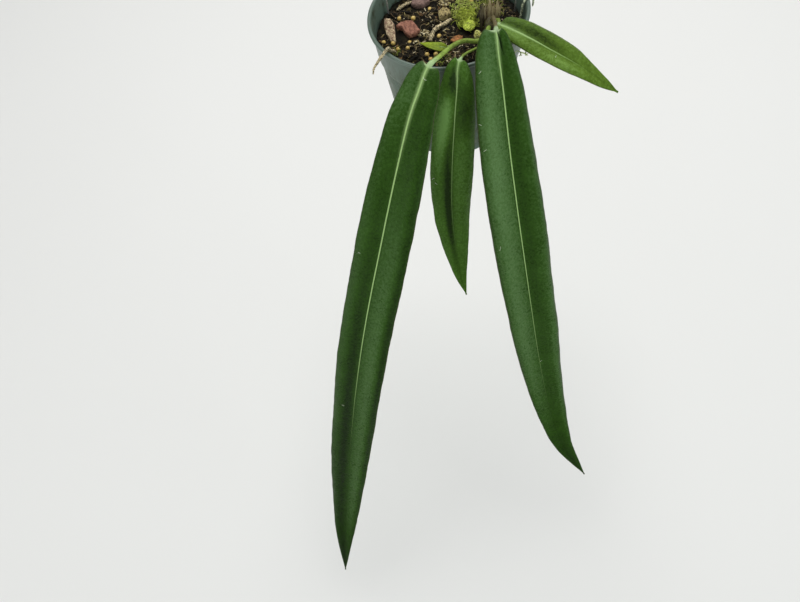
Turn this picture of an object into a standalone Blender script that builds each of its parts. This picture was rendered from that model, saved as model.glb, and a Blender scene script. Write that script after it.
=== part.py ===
"""A potted Anthurium pallidiflorum in a green hanging pot on two wires and a hook.

Metres, +Z up, -Y is the side that the long leaves hang over. The origin is where the
hook bears on its rail. Every piece is laid out from the middle of the pot's rim, and
one empty carries the whole assembly down from the rail by the hanger's height.
"""

import random
from collections import namedtuple
from math import cos, pi, radians, sin, sqrt

import bmesh
import bpy
from mathutils import Matrix, Vector, noise

MM = 0.001

# Clearance that neighbouring pieces keep
GAP = 0.3 * MM

# Pot. Its upper band steps in to a tapering side, and a foot ring stands below.
POT_STEPS = 52
RIM_RADIUS = 63.5 * MM
RIM_BORE_RADIUS = 60.3 * MM
RIM_DEPTH = 3.2 * MM
BAND_TOP_RADIUS = 61.2 * MM
BAND_FOOT_RADIUS = 59.2 * MM
BAND_DEPTH = 26.5 * MM
BODY_TOP_RADIUS = 57.2 * MM
STEP_DEPTH = 31.5 * MM
BASE_RADIUS = 49.0 * MM
POT_HEIGHT = 110.5 * MM
WALL = 1.3 * MM
LIP_STEPS = 6
LIP_CORNER = 0.3 * MM
LIP_UNDERCUT = 0.9 * MM
FLOOR_CORNER_WIDTH = 3.6 * MM
FLOOR_CORNER_RISE = 1.6 * MM
BASE_CORNER = 1.0 * MM
FOOT_WIDTH = 4.2 * MM
FOOT_TAPER = 1.2 * MM
FOOT_HEIGHT = 2.0 * MM
DRAIN_RADIUS = 3.5 * MM
DRAIN_RING = 33.0 * MM
DRAIN_COUNT = 6

# Potting mix
MIX_MIDDLE = -13.5 * MM
MIX_FALL = 5.5 * MM
MIX_LUMP = 1.7 * MM
MIX_RING = 5.0 * MM
MIX_SEAT_EDGE = 5.0 * MM
MIX_STEPS = 40
MIX_EDGE_DEPTH = 19.0 * MM
MIX_SHOULDER_DEPTH = 24.0 * MM
MIX_CRUMBS = 24
CRUMB_REACH = 50.0
CRUMB_SIZES = (3.0, 5.5)
CRUMB_CLEARANCE = 3.5
BEAD_CLEARANCE = 5.0
BEAD_RADIUS = 1.7 * MM

# Hanger
HANGER_HEIGHT = 270.0 * MM
HOOK_WIRE = 1.3 * MM
HOOK_BEND = 12.0 * MM
HOOK_EYE = 6.0 * MM
HOOK_EYE_START = 112
HOOK_EYE_SWEEP = 302
HOOK_EYE_DROP = 54.0
STRAND_WIRE = 0.7 * MM
STRAND_EYE = 3.2 * MM
STRAND_EYE_SWEEP = 298
STRAND_HOLE = STRAND_WIRE + GAP
STRAND_HOLE_DEPTH = 23.4 * MM
STRAND_BEND = 2.0 * MM
STRAND_REACH = 2.0 * MM
STRAND_TIP = 5.0 * MM

# Where the wires come down beside the wall, in millimetres
STRAND_LEFT = (-41.5, 36.7)
STRAND_RIGHT = (55.4, 0.0)

# Stem
STEM_PLACE = (30.5, -14.5)
STEM_RADIUS = 5.4 * MM
STEM_TOP = -6.0 * MM
STEM_FOOT = -32.0 * MM
STEM_HOLE_TOP = -12.0 * MM
STEM_NECK_SHARE = 0.62
STEM_RINGS = 9
STEM_SIDES = 16

# How long the holes are in which the petioles, the roots and the young shoot stand
LEAF_SOCKET = 20.0 * MM
ROOT_HOLE = 8.0 * MM
SHOOT_HOLE = 10.0 * MM

# Dry sheath behind the stem: its foot, its first angle and sweep, and its gap to the stem
SHEATH_FOOT = -15.2 * MM
SHEATH_START = 15
SHEATH_SWEEP = 165
SHEATH_COLUMNS = 22
SHEATH_ROWS = 5
SHEATH_SPREAD = 1.9 * MM
SHEATH_OFFSET = 0.9 * MM

# Leaf blades
BLADE_EDGE = 0.6 * MM
BLADE_THICKNESS = 0.8 * MM
BLADE_TIP_HALF = 0.7 * MM
FOLD = 0.2
ROLL_START = 0.55
ROLL = 1.0
LOBE_SHARE = 0.06
RIB_RIDGE = 0.45 * MM
RIB_KEEL = 0.9 * MM
RIB_FLANK = 0.35 * MM
RIB_FADE = 0.75
RIB_FULL_WIDTH = 4.0 * MM
PETIOLE_STEP = 6.0 * MM
PETIOLE_FLARE = 0.15
JOINT_SWELL = 1.3
JOINT_LENGTH = 3.2 * MM
JOINT_END = 0.8 * MM

# Moss
MOSS_HEART = (15.0, 0.5, -13.9)
MOSS_SIZE = (8.2, 9.0, 6.0)
MOSS_CUT = 1.5 * MM
MOSS_SPRIGS = 16
SPRIG_LENGTH = 6.5 * MM
LOBE_PLACE = (14.5, -9.4, -11.0)
LOBE_SIZE = (4.9, 5.2, 2.9)
MOSS_TIP_PLACE = (17.6, -22.2, -11.2)
MOSS_TIP_WIDTH = 2.9 * MM
MOSS_TIP_HEIGHT = 4.1 * MM

# Bark: how far its top draws in, and how its worn edge is rounded
BARK_DRAW = 0.92
BARK_EDGE = 0.8 * MM


def at(x, y, z):
    """A place in millimetres from the middle of the rim, as a vector in metres."""
    return Vector((x, y, z)) * MM


def clear_scene():
    for thing in list(bpy.data.objects):
        bpy.data.objects.remove(thing, do_unlink=True)


def collection(name):
    made = bpy.data.collections.new(name)
    bpy.context.scene.collection.children.link(made)
    return made


def material(name, colour, roughness, metallic=0.0):
    made = bpy.data.materials.new(name)
    made.use_nodes = True
    shader = made.node_tree.nodes["Principled BSDF"]
    shader.inputs["Base Color"].default_value = (*colour, 1.0)
    shader.inputs["Roughness"].default_value = roughness
    shader.inputs["Metallic"].default_value = metallic
    made.diffuse_color = (*colour, 1.0)
    return made


def add(name, data, surface=None, cutter=False):
    """Link an object's data into the assembly or among the cutters."""
    made = bpy.data.objects.new(name, data)
    made.parent = FRAME
    if cutter:
        CUTTERS.objects.link(made)
        made.hide_render = True
        made.display_type = "WIRE"
        return made
    PARTS.objects.link(made)
    data.materials.append(surface)
    return made


def to_mesh(name, bm):
    bm.normal_update()
    bmesh.ops.recalc_face_normals(bm, faces=bm.faces)
    mesh = bpy.data.meshes.new(name)
    bm.to_mesh(mesh)
    bm.free()
    return mesh


def smooth(mesh, angle=35):
    mesh.shade_smooth()
    mesh.set_sharp_from_angle(angle=radians(angle))


def evaluated_mesh(thing):
    """The mesh that an object's modifiers or bevel make, with its caps welded."""
    graph = bpy.context.evaluated_depsgraph_get()
    mesh = bpy.data.meshes.new_from_object(thing.evaluated_get(graph))
    bm = bmesh.new()
    bm.from_mesh(mesh)
    bmesh.ops.remove_doubles(bm, verts=bm.verts, dist=1e-6)
    bm.to_mesh(mesh)
    bm.free()
    return mesh


def boolean(thing, operation, cutters):
    """Cut or join a mesh object with the objects of a new collection, and apply it."""
    group = bpy.data.collections.new(thing.name + "_" + operation.lower())
    for cutter in cutters:
        group.objects.link(cutter)
    step = thing.modifiers.new(operation.title(), "BOOLEAN")
    step.operation = operation
    step.operand_type = "COLLECTION"
    step.collection = group
    step.solver = "EXACT"
    bpy.context.view_layer.update()
    mesh = evaluated_mesh(thing)
    thing.modifiers.clear()
    old = thing.data
    thing.data = mesh
    bpy.data.meshes.remove(old)
    for cutter in cutters:
        bpy.data.objects.remove(cutter, do_unlink=True)
    bpy.data.collections.remove(group)


# Routes

def spline_point(points, piece, t):
    """Catmull-Rom between points[piece] and the next one."""
    last = len(points) - 1
    b, c = points[piece], points[min(piece + 1, last)]
    a = points[piece - 1] if piece > 0 else b * 2 - c
    d = points[piece + 2] if piece + 2 <= last else c * 2 - b
    return 0.5 * (2 * b + (c - a) * t + (2 * a - 5 * b + 4 * c - d) * t ** 2
                  + (3 * b - a - 3 * c + d) * t ** 3)


class Route:
    """A smooth curve through a few chosen points, read by its length."""

    def __init__(self, points, fineness=24):
        self.places = []
        for piece in range(len(points) - 1):
            for step in range(fineness):
                self.places.append(spline_point(points, piece, step / fineness))
        self.places.append(points[-1])
        self.marks = [0.0]
        for here, there in zip(self.places, self.places[1:]):
            self.marks.append(self.marks[-1] + (there - here).length)
        self.length = self.marks[-1]
        self.knots = [self.marks[i * fineness] for i in range(len(points))]

    def place(self, distance):
        distance = min(max(distance, 0.0), self.length)
        low, high = 0, len(self.marks) - 1
        while high - low > 1:
            middle = (low + high) // 2
            if self.marks[middle] <= distance:
                low = middle
            else:
                high = middle
        span = self.marks[high] - self.marks[low]
        share = (distance - self.marks[low]) / span if span else 0.0
        return self.places[low].lerp(self.places[high], share)

    def heading(self, distance, reach=1.5 * MM):
        before = self.place(distance - reach)
        after = self.place(distance + reach)
        return (after - before).normalized()

    def even(self, count):
        return [self.place(self.length * i / (count - 1)) for i in range(count)]


def rod(name, points, radius, surface=None, taper=None, sides=8, cutter=False):
    """A round rod along points: a curve with a bevel and filled caps."""
    curve = bpy.data.curves.new(name, "CURVE")
    curve.dimensions = "3D"
    curve.resolution_u = 1
    curve.bevel_depth = radius
    curve.bevel_resolution = (sides - 4) // 2
    curve.use_fill_caps = True
    spline = curve.splines.new("POLY")
    spline.points.add(len(points) - 1)
    for i, place in enumerate(points):
        spline.points[i].co = (*place, 1.0)
        spline.points[i].radius = taper(i / (len(points) - 1)) if taper else 1.0
    return add(name, curve, surface, cutter)


def rod_cutter(name, points, radius, sides=10):
    """The same rod as a closed mesh, for a Boolean."""
    curve = rod(name + "_curve", points, radius, sides=sides, cutter=True)
    bpy.context.view_layer.update()
    cutter = add(name, evaluated_mesh(curve), cutter=True)
    bpy.data.objects.remove(curve, do_unlink=True)
    return cutter


def turned(name, profile, surface, steps):
    """A profile in the XZ plane turned about Z; it runs down its outer side."""
    mesh = bpy.data.meshes.new(name)
    edges = [(i, i + 1) for i in range(len(profile) - 1)]
    mesh.from_pydata([(r, 0.0, z) for r, z in profile], edges, [])
    thing = add(name, mesh, surface)
    screw = thing.modifiers.new("Turn", "SCREW")
    screw.steps = steps
    screw.render_steps = steps
    screw.use_merge_vertices = True
    screw.merge_threshold = 1e-5
    bpy.context.view_layer.update()
    solid = evaluated_mesh(thing)
    thing.modifiers.clear()
    thing.data = solid
    bpy.data.meshes.remove(mesh)
    bm = bmesh.new()
    bm.from_mesh(solid)
    bmesh.ops.recalc_face_normals(bm, faces=bm.faces)
    bm.to_mesh(solid)
    bm.free()
    return thing


def cylinder_cutter(name, centre, radius, depth, axis=Vector((0, 0, 1)), sides=16):
    bm = bmesh.new()
    bmesh.ops.create_cone(bm, cap_ends=True, segments=sides, radius1=radius,
                          radius2=radius, depth=depth)
    turn = Vector((0, 0, 1)).rotation_difference(axis).to_matrix().to_4x4()
    bm.transform(Matrix.Translation(centre) @ turn)
    return add(name, to_mesh(name, bm), cutter=True)


# Pot

def wall_radius(depth):
    """Outer radius of the pot's side at a depth under the rim."""
    if depth < BAND_DEPTH:
        share = (depth - RIM_DEPTH) / (BAND_DEPTH - RIM_DEPTH)
        return BAND_TOP_RADIUS + (BAND_FOOT_RADIUS - BAND_TOP_RADIUS) * share
    if depth < STEP_DEPTH:
        share = (depth - BAND_DEPTH) / (STEP_DEPTH - BAND_DEPTH)
        return BAND_FOOT_RADIUS + (BODY_TOP_RADIUS - BAND_FOOT_RADIUS) * share
    share = (depth - STEP_DEPTH) / (POT_HEIGHT - STEP_DEPTH)
    return BODY_TOP_RADIUS + (BASE_RADIUS - BODY_TOP_RADIUS) * share


def strand_azimuth(place):
    return Vector((place[0], place[1], 0.0)).normalized()


def build_pot():
    floor = -POT_HEIGHT + FOOT_HEIGHT + WALL
    inner = [(0.0, floor), (BASE_RADIUS - FLOOR_CORNER_WIDTH, floor),
             (wall_radius(-floor) - WALL, floor + FLOOR_CORNER_RISE)]
    for depth in (STEP_DEPTH, BAND_DEPTH, RIM_DEPTH):
        inner.append((wall_radius(depth) - WALL, -depth))
    lip_middle = (RIM_RADIUS + RIM_BORE_RADIUS) / 2
    lip_width = (RIM_RADIUS - RIM_BORE_RADIUS) / 2
    lip = []
    for i in range(LIP_STEPS + 1):
        turn = pi - pi * i / LIP_STEPS
        lip.append((lip_middle + lip_width * cos(turn), -RIM_DEPTH / 2 * (1 - sin(turn))))
    lip += [(RIM_RADIUS - LIP_CORNER, -RIM_DEPTH + LIP_CORNER),
            (RIM_RADIUS - LIP_UNDERCUT, -RIM_DEPTH)]
    outer = [(wall_radius(depth), -depth) for depth in (RIM_DEPTH, BAND_DEPTH, STEP_DEPTH)]
    base = -POT_HEIGHT
    outer += [(wall_radius(POT_HEIGHT - BASE_CORNER), base + BASE_CORNER),
              (BASE_RADIUS - BASE_CORNER, base),
              (BASE_RADIUS - FOOT_WIDTH, base),
              (BASE_RADIUS - FOOT_WIDTH - FOOT_TAPER, base + FOOT_HEIGHT),
              (0.0, base + FOOT_HEIGHT)]
    pot = turned("pot", inner + lip + outer, POT_GREEN, POT_STEPS)
    holes = []
    for i in range(DRAIN_COUNT):
        turn = 2 * pi * (i + 0.5) / DRAIN_COUNT
        centre = Vector((DRAIN_RING * cos(turn), DRAIN_RING * sin(turn), floor))
        holes.append(cylinder_cutter("drain_cutter", centre, DRAIN_RADIUS, 8 * MM, sides=12))
    for place in (STRAND_LEFT, STRAND_RIGHT):
        out = strand_azimuth(place)
        centre = out * wall_radius(STRAND_HOLE_DEPTH) - Vector((0, 0, STRAND_HOLE_DEPTH))
        holes.append(cylinder_cutter("strand_cutter", centre, STRAND_HOLE, 6 * MM, out, 8))
    boolean(pot, "DIFFERENCE", holes)
    smooth(pot.data)


# Hanger

def build_hook():
    """Rail hook: an open bend above, a straight shank and a closed eye below."""
    bend = HOOK_BEND + HOOK_WIRE
    top = at(0, 0, HANGER_HEIGHT / MM)
    route = [top + at(17.5, 0, -23.5)]
    for i in range(9):
        turn = pi * i / 8
        route.append(top + Vector((bend * cos(turn), 0, -HOOK_BEND + bend * sin(turn))))
    route += [top + at(-10.5, 0, -22.5), top + at(-3.5, 0, -30.0), top + at(0, 0, -37.5)]
    eye_middle = top + at(0, 0, -HOOK_EYE_DROP)
    shank = Route(route, 8).even(30)
    shank.append(eye_middle + Vector((0, 0, HOOK_EYE + 3 * MM)))
    ring = []
    for i in range(17):
        turn = radians(HOOK_EYE_START + HOOK_EYE_SWEEP * i / 16)
        ring.append(eye_middle + HOOK_EYE * Vector((cos(turn), 0, sin(turn))))
    rod("hanger_hook", shank + ring, HOOK_WIRE, WIRE_STEEL, sides=8)
    return eye_middle


def build_strand(name, side, place, eye_middle):
    """Eye at the hook, a long lean down to the pot, and a bent foot through its wall."""
    eye = eye_middle + Vector((side * 1.2 * MM, 0, -HOOK_EYE - 0.8 * MM))
    points = []
    for i in range(13):
        turn = radians(STRAND_EYE_SWEEP) * (1 - i / 12)
        points.append(eye + STRAND_EYE * Vector((0, -side * cos(turn), sin(turn))))
    out = strand_azimuth(place)
    down = [eye + Vector((side * 0.4 * MM, -side * STRAND_EYE, -6 * MM)),
            eye + Vector((place[0] * 0.10 * MM, place[1] * 0.10 * MM, -30 * MM)),
            at(place[0] * 0.93, place[1] * 0.93, 52),
            at(place[0], place[1], 24), at(place[0], place[1], 4)]
    points += Route([points[-1]] + down, 12).even(18)[1:]
    radius = sqrt(place[0] ** 2 + place[1] ** 2) * MM
    lift = Vector((0, 0, STRAND_BEND - STRAND_HOLE_DEPTH))
    for i in range(4):
        turn = pi / 2 * i / 3
        points.append(out * (radius + STRAND_BEND * (1 - cos(turn))) + lift
                      - Vector((0, 0, STRAND_BEND * sin(turn))))
    outside = wall_radius(STRAND_HOLE_DEPTH) + STRAND_REACH
    for i in range(4):
        turn = pi / 2 * i / 3
        points.append(out * (outside - STRAND_BEND * (1 - sin(turn))) + lift
                      - Vector((0, 0, STRAND_BEND * cos(turn))))
    points.append(out * outside + Vector((0, 0, STRAND_TIP - STRAND_HOLE_DEPTH)))
    rod(name, points, STRAND_WIRE, WIRE_STEEL, sides=6)
    return points


# Potting mix

# Places kept level for what lies on the mix: both ends of the spot, its reach, its height
SEATS = [
    ((30, -15), (20, -21), 9.0, -15.6),
    ((28, -20), (12, -37), 3.4, -16.4),
    ((-27, 11), (-34, 5), 10.5, -15.8),
    ((-17, 37), (-9, 36), 7.5, -17.4),
    ((-43, 26), (-46, 2), 5.5, -17.6),
    ((0, 13), (1, 13), 6.0, -15.4),
    ((14, 3), (15, -9), 9.5, -15.4),
    ((4, 6), (-7, 1), 2.6, -15.6),
    ((-7, 1), (-13, -2), 2.6, -15.6),
    ((-13, -2), (-18, -12), 2.6, -15.6),
    ((-34, 38), (-19, 43), 2.4, -18.4),
    ((0, -17), (5, -16), 5.5, -15.8),
    ((-4.5, -24.5), (-4.5, -24.5), 3.0, -16.2),
    ((-46.8, -11), (-47.2, -12), 3.0, -18.4),
    ((55, -13), (55, -13), 3.0, -19.0),
    ((35, -42), (35, -42), 3.0, -19.0),
]

# Fertiliser beads seen on the mix
BEADS = [(-9, 25), (-24, 23), (-35, 30), (-34, -6), (-41, -19), (-35, -14), (13, -24), (-22, -9)]


def seat_distance(x, y, seat):
    start, end = Vector(seat[0]), Vector(seat[1])
    spot = Vector((x, y))
    along = end - start
    share = 0.0
    if along.length_squared > 0:
        share = min(max((spot - start).dot(along) / along.length_squared, 0.0), 1.0)
    return (spot - start - along * share).length - seat[2]


def mix_height(x, y):
    """Height of the mix at a place in millimetres, in metres under the rim."""
    reach = sqrt(x * x + y * y) * MM / RIM_RADIUS
    lump = noise.noise(Vector((x * 0.13, y * 0.13, 4.2)))
    grain = noise.noise(Vector((x * 0.31, y * 0.31, 9.1)))
    height = MIX_MIDDLE - MIX_FALL * reach * reach + MIX_LUMP * (lump + 0.6 * grain)
    for seat in SEATS:
        edge = seat_distance(x, y, seat) * MM / MIX_SEAT_EDGE
        hold = 1.0 - min(max(edge, 0.0), 1.0)
        hold = hold * hold * (3 - 2 * hold)
        height += (seat[3] * MM - height) * hold
    return height


def chip(name, centre, size, turn, seed):
    """A crumb of bark: a cube with uneven corners."""
    bm = bmesh.new()
    bmesh.ops.create_cube(bm, size=1.0)
    rng = random.Random(seed)
    for vert in bm.verts:
        vert.co *= 1.0 + rng.uniform(-0.25, 0.2)
        vert.co = Vector((vert.co.x * size, vert.co.y * size * 0.7, vert.co.z * size * 0.5))
    bm.transform(Matrix.Translation(centre) @ Matrix.Rotation(turn, 4, "Z")
                 @ Matrix.Rotation(rng.uniform(-0.4, 0.4), 4, "X"))
    return add(name, to_mesh(name, bm), cutter=True)


def bead(name, centre):
    bm = bmesh.new()
    bmesh.ops.create_icosphere(bm, subdivisions=2, radius=BEAD_RADIUS)
    bm.transform(Matrix.Translation(centre))
    return add(name, to_mesh(name, bm), cutter=True)


def build_mix(strands):
    """The mix fills the pot; its top is lumpy, level under what lies on it."""
    side = [(wall_radius(depth) - WALL - GAP * 1.3, -depth) for depth in
            (MIX_SHOULDER_DEPTH, BAND_DEPTH + 2 * GAP, STEP_DEPTH + 2 * GAP)]
    floor = -POT_HEIGHT + FOOT_HEIGHT + WALL + GAP
    top_radius = wall_radius(MIX_EDGE_DEPTH) - WALL - GAP * 1.6
    rings = int(top_radius / MIX_RING)
    top = [(top_radius * i / rings, 0.0) for i in range(rings + 1)]
    low = [(BASE_RADIUS - 6.5 * MM, floor), (0.0, floor)]
    mix = turned("potting_mix", top + side + low, MIX_BROWN, MIX_STEPS)
    for vert in mix.data.vertices:
        if vert.co.z > -1e-6:
            vert.co.z = mix_height(vert.co.x / MM, vert.co.y / MM)
    rng = random.Random(11)
    crumbs = [bead("bead_%02d" % i, at(x, y, mix_height(x, y) / MM + 0.3))
              for i, (x, y) in enumerate(BEADS)]
    while len(crumbs) < len(BEADS) + MIX_CRUMBS:
        x, y = rng.uniform(-CRUMB_REACH, CRUMB_REACH), rng.uniform(-CRUMB_REACH, CRUMB_REACH)
        clear = min(seat_distance(x, y, seat) for seat in SEATS)
        clear = min([clear] + [sqrt((x - a) ** 2 + (y - b) ** 2) - BEAD_CLEARANCE
                               for a, b in BEADS])
        if sqrt(x * x + y * y) > CRUMB_REACH or clear < CRUMB_CLEARANCE:
            continue
        size = rng.uniform(*CRUMB_SIZES)
        height = mix_height(x, y) + 0.1 * size * MM
        crumbs.append(chip("crumb_%02d" % len(crumbs), Vector((x * MM, y * MM, height)),
                           size * MM, rng.uniform(0, pi), len(crumbs)))
    boolean(mix, "UNION", crumbs)
    depth = STEM_HOLE_TOP - STEM_FOOT + GAP
    middle = at(*STEM_PLACE, 0) + Vector((0, 0, STEM_HOLE_TOP - depth / 2))
    cutters = [cylinder_cutter("stem_cutter", middle, STEM_RADIUS + GAP, depth)]
    cutters.append(YOUNG_SHOOT.socket(SHOOT_HOLE))
    for name, root in ROOTS.items():
        if name.startswith("aerial"):
            foot = [root.route.place(ROOT_HOLE * i / 4) for i in range(5)]
            foot[0] -= root.route.heading(0.0) * GAP
            cutters.append(rod_cutter(name + "_hole", foot, root.radius + GAP, sides=8))
    for i, points in enumerate(strands):
        low_part = [place for place in points if place.z < -4 * MM]
        high = low_part[0] + Vector((0, 0, 12 * MM))
        cutters.append(rod_cutter("strand_way_%d" % i, [high] + low_part, STRAND_WIRE + GAP))
    boolean(mix, "DIFFERENCE", cutters)
    smooth(mix.data, 50)


# Leaves

# Shares of the half width at which a blade's face has its points
ACROSS = (-1.0, -0.72, -0.4, -0.07, 0.0, 0.07, 0.4, 0.72, 1.0)

# How far the midrib stands out above and below, by the share of the half width
RIB_PROFILE = {0.0: (RIB_RIDGE, RIB_KEEL), 0.07: (0.0, RIB_FLANK)}

# Shares of the blade's length at which its first sections stand, close at the round base
BASE_SECTIONS = (0.0015, 0.006, 0.014, 0.028, 0.048, 0.075)


class Side:
    """Outline of one half of a blade: round at the base, drawn out to the tip."""

    def __init__(self, half_width, widest, rise, fall):
        self.half_width = half_width * MM
        self.widest = widest
        self.rise = rise
        self.fall = fall

    def reach(self, share):
        if share < self.widest:
            return self.half_width * (1.0 - (1.0 - share / self.widest) ** 2) ** self.rise
        past = (share - self.widest) / (1.0 - self.widest)
        return self.half_width * max(1.0 - past ** self.fall, 0.0)


class Leaf:
    """One leaf: a round petiole, a swollen joint and a long blade, as one solid."""

    def __init__(self, name, petiole, blade, left, right, facing, petiole_radius, **shape):
        self.name = name
        self.left = left
        self.right = right
        self.facing = radians(facing)
        self.petiole_radius = petiole_radius * MM
        self.lobe = shape.get("lobe", 3.5) * MM
        self.wave = shape.get("wave", 0.9) * MM
        self.waves = shape.get("waves", 4.0)
        self.sections = shape.get("sections", 28)
        self.route = Route([at(*p) for p in petiole + blade])
        self.blade_start = self.route.knots[len(petiole) - 1]
        self.blade_length = self.route.length - self.blade_start

    def frame(self, distance):
        """Where the section stands, with its across, face and heading directions."""
        heading = self.route.heading(distance)
        sideways = Vector((cos(self.facing), sin(self.facing), 0.0))
        across = (sideways - heading * sideways.dot(heading)).normalized()
        return self.route.place(distance), across, heading.cross(across).normalized(), heading

    def round_section(self, distance, radius):
        place, across, face, _ = self.frame(distance)
        count = 2 * len(ACROSS)
        ring = []
        for i in range(count):
            turn = pi - 2 * pi * (i + 0.5) / count
            ring.append(place + radius * (across * cos(turn) + face * sin(turn)))
        return ring

    def blade_section(self, share):
        place, across, face, heading = self.frame(self.blade_start + share * self.blade_length)
        back = self.lobe * max(1.0 - share / LOBE_SHARE, 0.0) ** 1.5
        middle = (self.left.reach(share) + self.right.reach(share)) / 2
        rib = (1.0 - RIB_FADE * share) * min(middle / RIB_FULL_WIDTH, 1.0)
        upper, lower = [], []
        for v in ACROSS:
            side = self.right if v > 0 else self.left
            half = max(side.reach(share), BLADE_TIP_HALF)
            arch = half * (FOLD * abs(v) - ROLL * max(abs(v) - ROLL_START, 0.0) ** 2)
            phase = 0.6 if v > 0 else 2.3
            wave = self.wave * abs(v) ** 3 * sin(2 * pi * self.waves * share + phase)
            wave *= half / side.half_width
            spot = place + across * (v * half) + face * (arch + wave) - heading * back * v * v
            thick = BLADE_EDGE if abs(v) == 1.0 else BLADE_THICKNESS
            ridge, keel = RIB_PROFILE.get(abs(v), (0.0, 0.0))
            upper.append(spot + face * (thick / 2 + ridge * rib))
            lower.append(spot - face * (thick / 2 + keel * rib))
        return upper + lower[::-1]

    def petiole_marks(self):
        """Distances along the petiole at which its sections stand."""
        count = max(int(self.blade_start / PETIOLE_STEP), 4)
        return [0.93 * self.blade_start * i / count for i in range(count)]

    def petiole_sections(self):
        rings = []
        for mark in self.petiole_marks():
            share = mark / self.blade_start
            flare = 1.0 + PETIOLE_FLARE * (1.0 - share)
            rings.append(self.round_section(mark, self.petiole_radius * flare))
        swollen = self.petiole_radius * JOINT_SWELL
        rings.append(self.round_section(self.blade_start - JOINT_LENGTH, swollen))
        rings.append(self.round_section(self.blade_start - JOINT_END, swollen))
        return rings

    def mesh(self):
        rings = self.petiole_sections()
        spread = [BASE_SECTIONS[-1] + (1.0 - BASE_SECTIONS[-1]) * (i + 1) / self.sections
                  for i in range(self.sections)]
        rings += [self.blade_section(share) for share in list(BASE_SECTIONS) + spread]
        bm = bmesh.new()
        loops = [[bm.verts.new(place) for place in ring] for ring in rings]
        count = len(loops[0])
        half = count // 2
        for near, far in zip(loops, loops[1:]):
            for j in range(count):
                k = (j + 1) % count
                column = min(j, count - 2 - j) if j != count - 1 else 0
                rising = (column < (half - 1) / 2) == (j < half)
                if rising:
                    bm.faces.new((near[j], near[k], far[k]))
                    bm.faces.new((near[j], far[k], far[j]))
                else:
                    bm.faces.new((near[j], near[k], far[j]))
                    bm.faces.new((near[k], far[k], far[j]))
        bm.faces.new(loops[0][::-1])
        bm.faces.new(loops[-1])
        return to_mesh(self.name, bm)

    def build(self, surface):
        thing = add(self.name, self.mesh(), surface)
        smooth(thing.data, 60)

    def socket(self, reach):
        """A slightly wider rod along the petiole's foot, to cut its seat in the stem."""
        points = [self.route.place(mark) for mark in self.petiole_marks() if mark < reach]
        points[0] -= self.route.heading(0.0) * GAP
        radius = self.petiole_radius * (1.0 + PETIOLE_FLARE) + GAP
        return rod_cutter(self.name + "_socket", points, radius)


LEAVES = [
    Leaf("leaf_left",
         [(28, -18, -10.5), (21.5, -27, -10.3), (14.5, -31.3, -9), (6.6, -31, -6.3), (1.8, -35.4, -2),
          (-4.4, -41.9, 3), (-12.3, -50.5, 8), (-22, -59.8, 11.2), (-32, -65, 9)],
         [(-42, -75, 0), (-57.4, -92, -17), (-89.8, -132, -68), (-135.7, -184, -159),
          (-176.8, -237, -260), (-220, -297, -385), (-243, -332, -462)],
         Side(21.1, 0.30, 0.28, 3.4), Side(24.3, 0.30, 0.28, 2.45), -26, 1.55, waves=4.5),
    Leaf("leaf_middle",
         [(29.5, -18.5, -14), (21, -29.5, -13.8), (11.5, -37, -10.5), (3.5, -45.3, -4.5),
          (-2.8, -54, 1.5), (-6.2, -60.5, 5.3), (-9, -64, 6)],
         [(-11, -66, 0), (-13, -71, -10), (-19, -82, -35), (-27, -97, -78),
          (-32, -112, -121), (-32, -129, -177), (-29, -138, -210)],
         Side(17.5, 0.36, 0.36, 1.8), Side(17.6, 0.34, 0.36, 1.9), -8, 0.95,
         sections=20, waves=3.0, lobe=2.5),
    Leaf("leaf_front",
         [(30.5, -15, -8), (30.3, -19, -2.5), (28.5, -27, 4.5), (25.5, -38, 10.3), (22.7, -49, 15.4),
          (20, -59, 18)],
         [(19, -68, 7), (18, -84, -12), (16, -118, -59), (17, -169, -144), (20, -217, -231),
          (25.5, -250, -291), (35, -278, -340), (58.5, -305, -399)],
         Side(24.1, 0.28, 0.24, 1.95), Side(22.4, 0.42, 0.36, 2.2), 0, 1.3, sections=26),
    Leaf("leaf_right",
         [(33, -13, -9), (35, -18, -6), (33, -26, 0), (30, -35, 5.5), (28, -42, 9)],
         [(33, -47, 8.5), (43, -56, 5.5), (58, -69, -1), (73, -79, -9), (92, -92, -22),
          (104, -96, -32)],
         Side(11.0, 0.34, 0.30, 1.7), Side(13.0, 0.34, 0.26, 1.45), 20, 1.05,
         sections=14, waves=2.0, lobe=2.0, wave=0.5),
]

YOUNG_SHOOT = Leaf("young_shoot",
                   [(-4.5, -24.5, -20.5), (-4.8, -24.7, -15.2), (-6.5, -25.7, -12),
                    (-8.5, -26.3, -11.2)],
                   [(-10.5, -26.2, -10.8), (-17, -22.8, -10), (-26.5, -14.5, -11.3)],
                   Side(3.6, 0.40, 0.45, 1.8), Side(4.0, 0.40, 0.45, 1.8), 0, 0.8,
                   sections=7, waves=1.0, lobe=0.8, wave=0.2)


# Stem and what grows from it

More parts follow.
